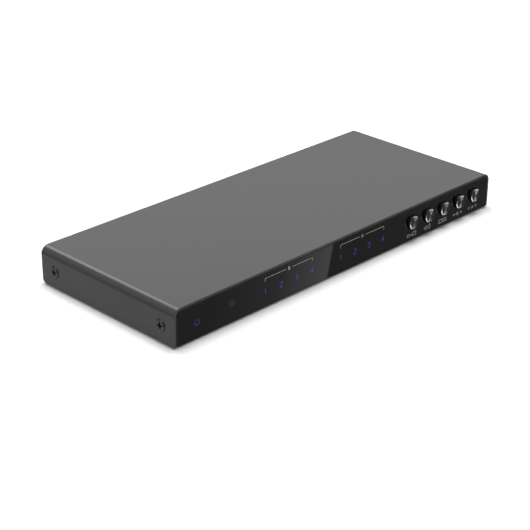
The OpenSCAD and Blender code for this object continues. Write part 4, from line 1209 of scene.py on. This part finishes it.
def left_card():
    """Pale next to the left wall and dark further out, which draws the dark line along the left bend."""
    wall = box("top_cover")[0].x
    corners = rectangle(wall - CARD_REACH, LEFT_CARD_FRONT, wall, LEFT_CARD_REAR)
    floor_card("left_card", corners, (-1, 0, 0), -wall, LEFT_CARD_FADE - wall, LEFT_CARD_TONES)


def front_card():
    """Grey in front of the gloss panel, with one pale patch that fades in from the left and ends at a
    slanted edge, so that the panel shows a soft reflection with one crisp side."""
    panel = box("front_fascia")[0]
    near, left = panel.y - CARD_GAP, panel.x
    far_left = left + CARD_SIDE * (near + CARD_REACH)
    corners = [(far_left, -CARD_REACH), (2 * CARD_REACH, -CARD_REACH), (2 * CARD_REACH, near), (left, near)]
    floor_card("front_card", corners, (1, PATCH_SLANT, 0), PATCH_EDGE - PATCH_FADE, PATCH_EDGE, PATCH_TONES)


def softbox(name, place, aim, size, power, seen_by=None):
    """An area lamp in metres and watts; seen_by lists the only pieces that it lights, where there are any."""
    lamp = bpy.data.lights.new(name, "AREA")
    lamp.shape = "RECTANGLE"
    lamp.size, lamp.size_y = size
    lamp.energy = power
    made = linked(name, lamp)
    made.location = place
    made.rotation_euler = (Vector(aim) - Vector(place)).to_track_quat("-Z", "Y").to_euler()
    made.visible_camera = False
    if seen_by:
        group = bpy.data.collections.new(name + "_pieces")
        for piece in seen_by:
            group.objects.link(piece)
        made.light_linking.receiver_collection = group


def light_discs(faces, rims):
    """Small lamps for the metal discs alone: a low strip opens the fans on their faces, another draws the
    upper rims, and one on the floor before each disc draws its lower rim."""
    spot = middle(BUTTONS[2] + "_button_face") * MM
    softbox("fan_strip", place=spot + Vector((0.342, -0.142, 0.03)), aim=spot, size=(0.306, 0.06),
            power=1.08, seen_by=faces)
    softbox("upper_rim_strip", place=spot + Vector((0.28, -0.008, 0.035)), aim=spot, size=(0.06, 0.07),
            power=0.03, seen_by=rims)
    for name, rim in zip(BUTTONS, rims):
        x, front = middle(name + "_button_face").x, box(name + "_button_face")[0].y
        under = Vector((x - RIM_GLOW_LEFT, front - RIM_GLOW_FRONT, RIM_GLOW_LIFT)) * MM
        softbox(name + "_rim_glow", place=under, aim=under + Vector((0, 0, 1)), size=(0.018, 0.0165),
                power=0.0016, seen_by=[rim])


def camera():
    """Camera at the photograph's viewing angle."""
    a, e, roll = (math.radians(v) for v in (CAMERA_AZIMUTH, CAMERA_ELEVATION, CAMERA_ROLL))
    back = Vector((math.sin(a) * math.cos(e), -math.cos(a) * math.cos(e), math.sin(e)))
    level = Vector((math.cos(a), math.sin(a), 0))
    upright = back.cross(level)
    right = level * math.cos(roll) + upright * math.sin(roll)
    up = upright * math.cos(roll) - level * math.sin(roll)
    lens = bpy.data.cameras.new("camera")
    lens.sensor_width = SENSOR
    lens.lens = CAMERA_LENS
    made = linked("camera", lens)
    turn = Matrix((right, up, back)).transposed().to_4x4()
    made.matrix_world = Matrix.Translation(CAMERA_PLACE) @ turn
    bpy.context.scene.camera = made


camera()
plain_world()
floor()
horizon_flag()
front_card()
left_card()
flag("rear_left_flag", "#A0A0A0", start=(-1300, 500), end=(-50, 1300), height=1500)
flag("front_left_flag", "#5A5A5A", start=(-1300, -250), end=(760, -1320), height=2000)
softbox("overhead_softbox", place=(0.1, 0.12, 1.35), aim=(0, 0, 0), size=(0.85, 0.85), power=21.2)
softbox("rear_softbox", place=(0.05, 0.84, 0.87), aim=(0, 0, 0), size=(0.55, 0.34), power=2.4)

bent_cover()
cover_screws()
front_panel()
infrared_window()
light_discs(*buttons())
printed_marks()
lit_signs()
rubber_feet()
rear_plate()
rear_screws()
rear_prints()
video_sockets()
power_jack()
audio_jack()
optical_jack()
shutter()
dress_kept_nodes()

bpy.context.scene.view_settings.view_transform = "Standard"
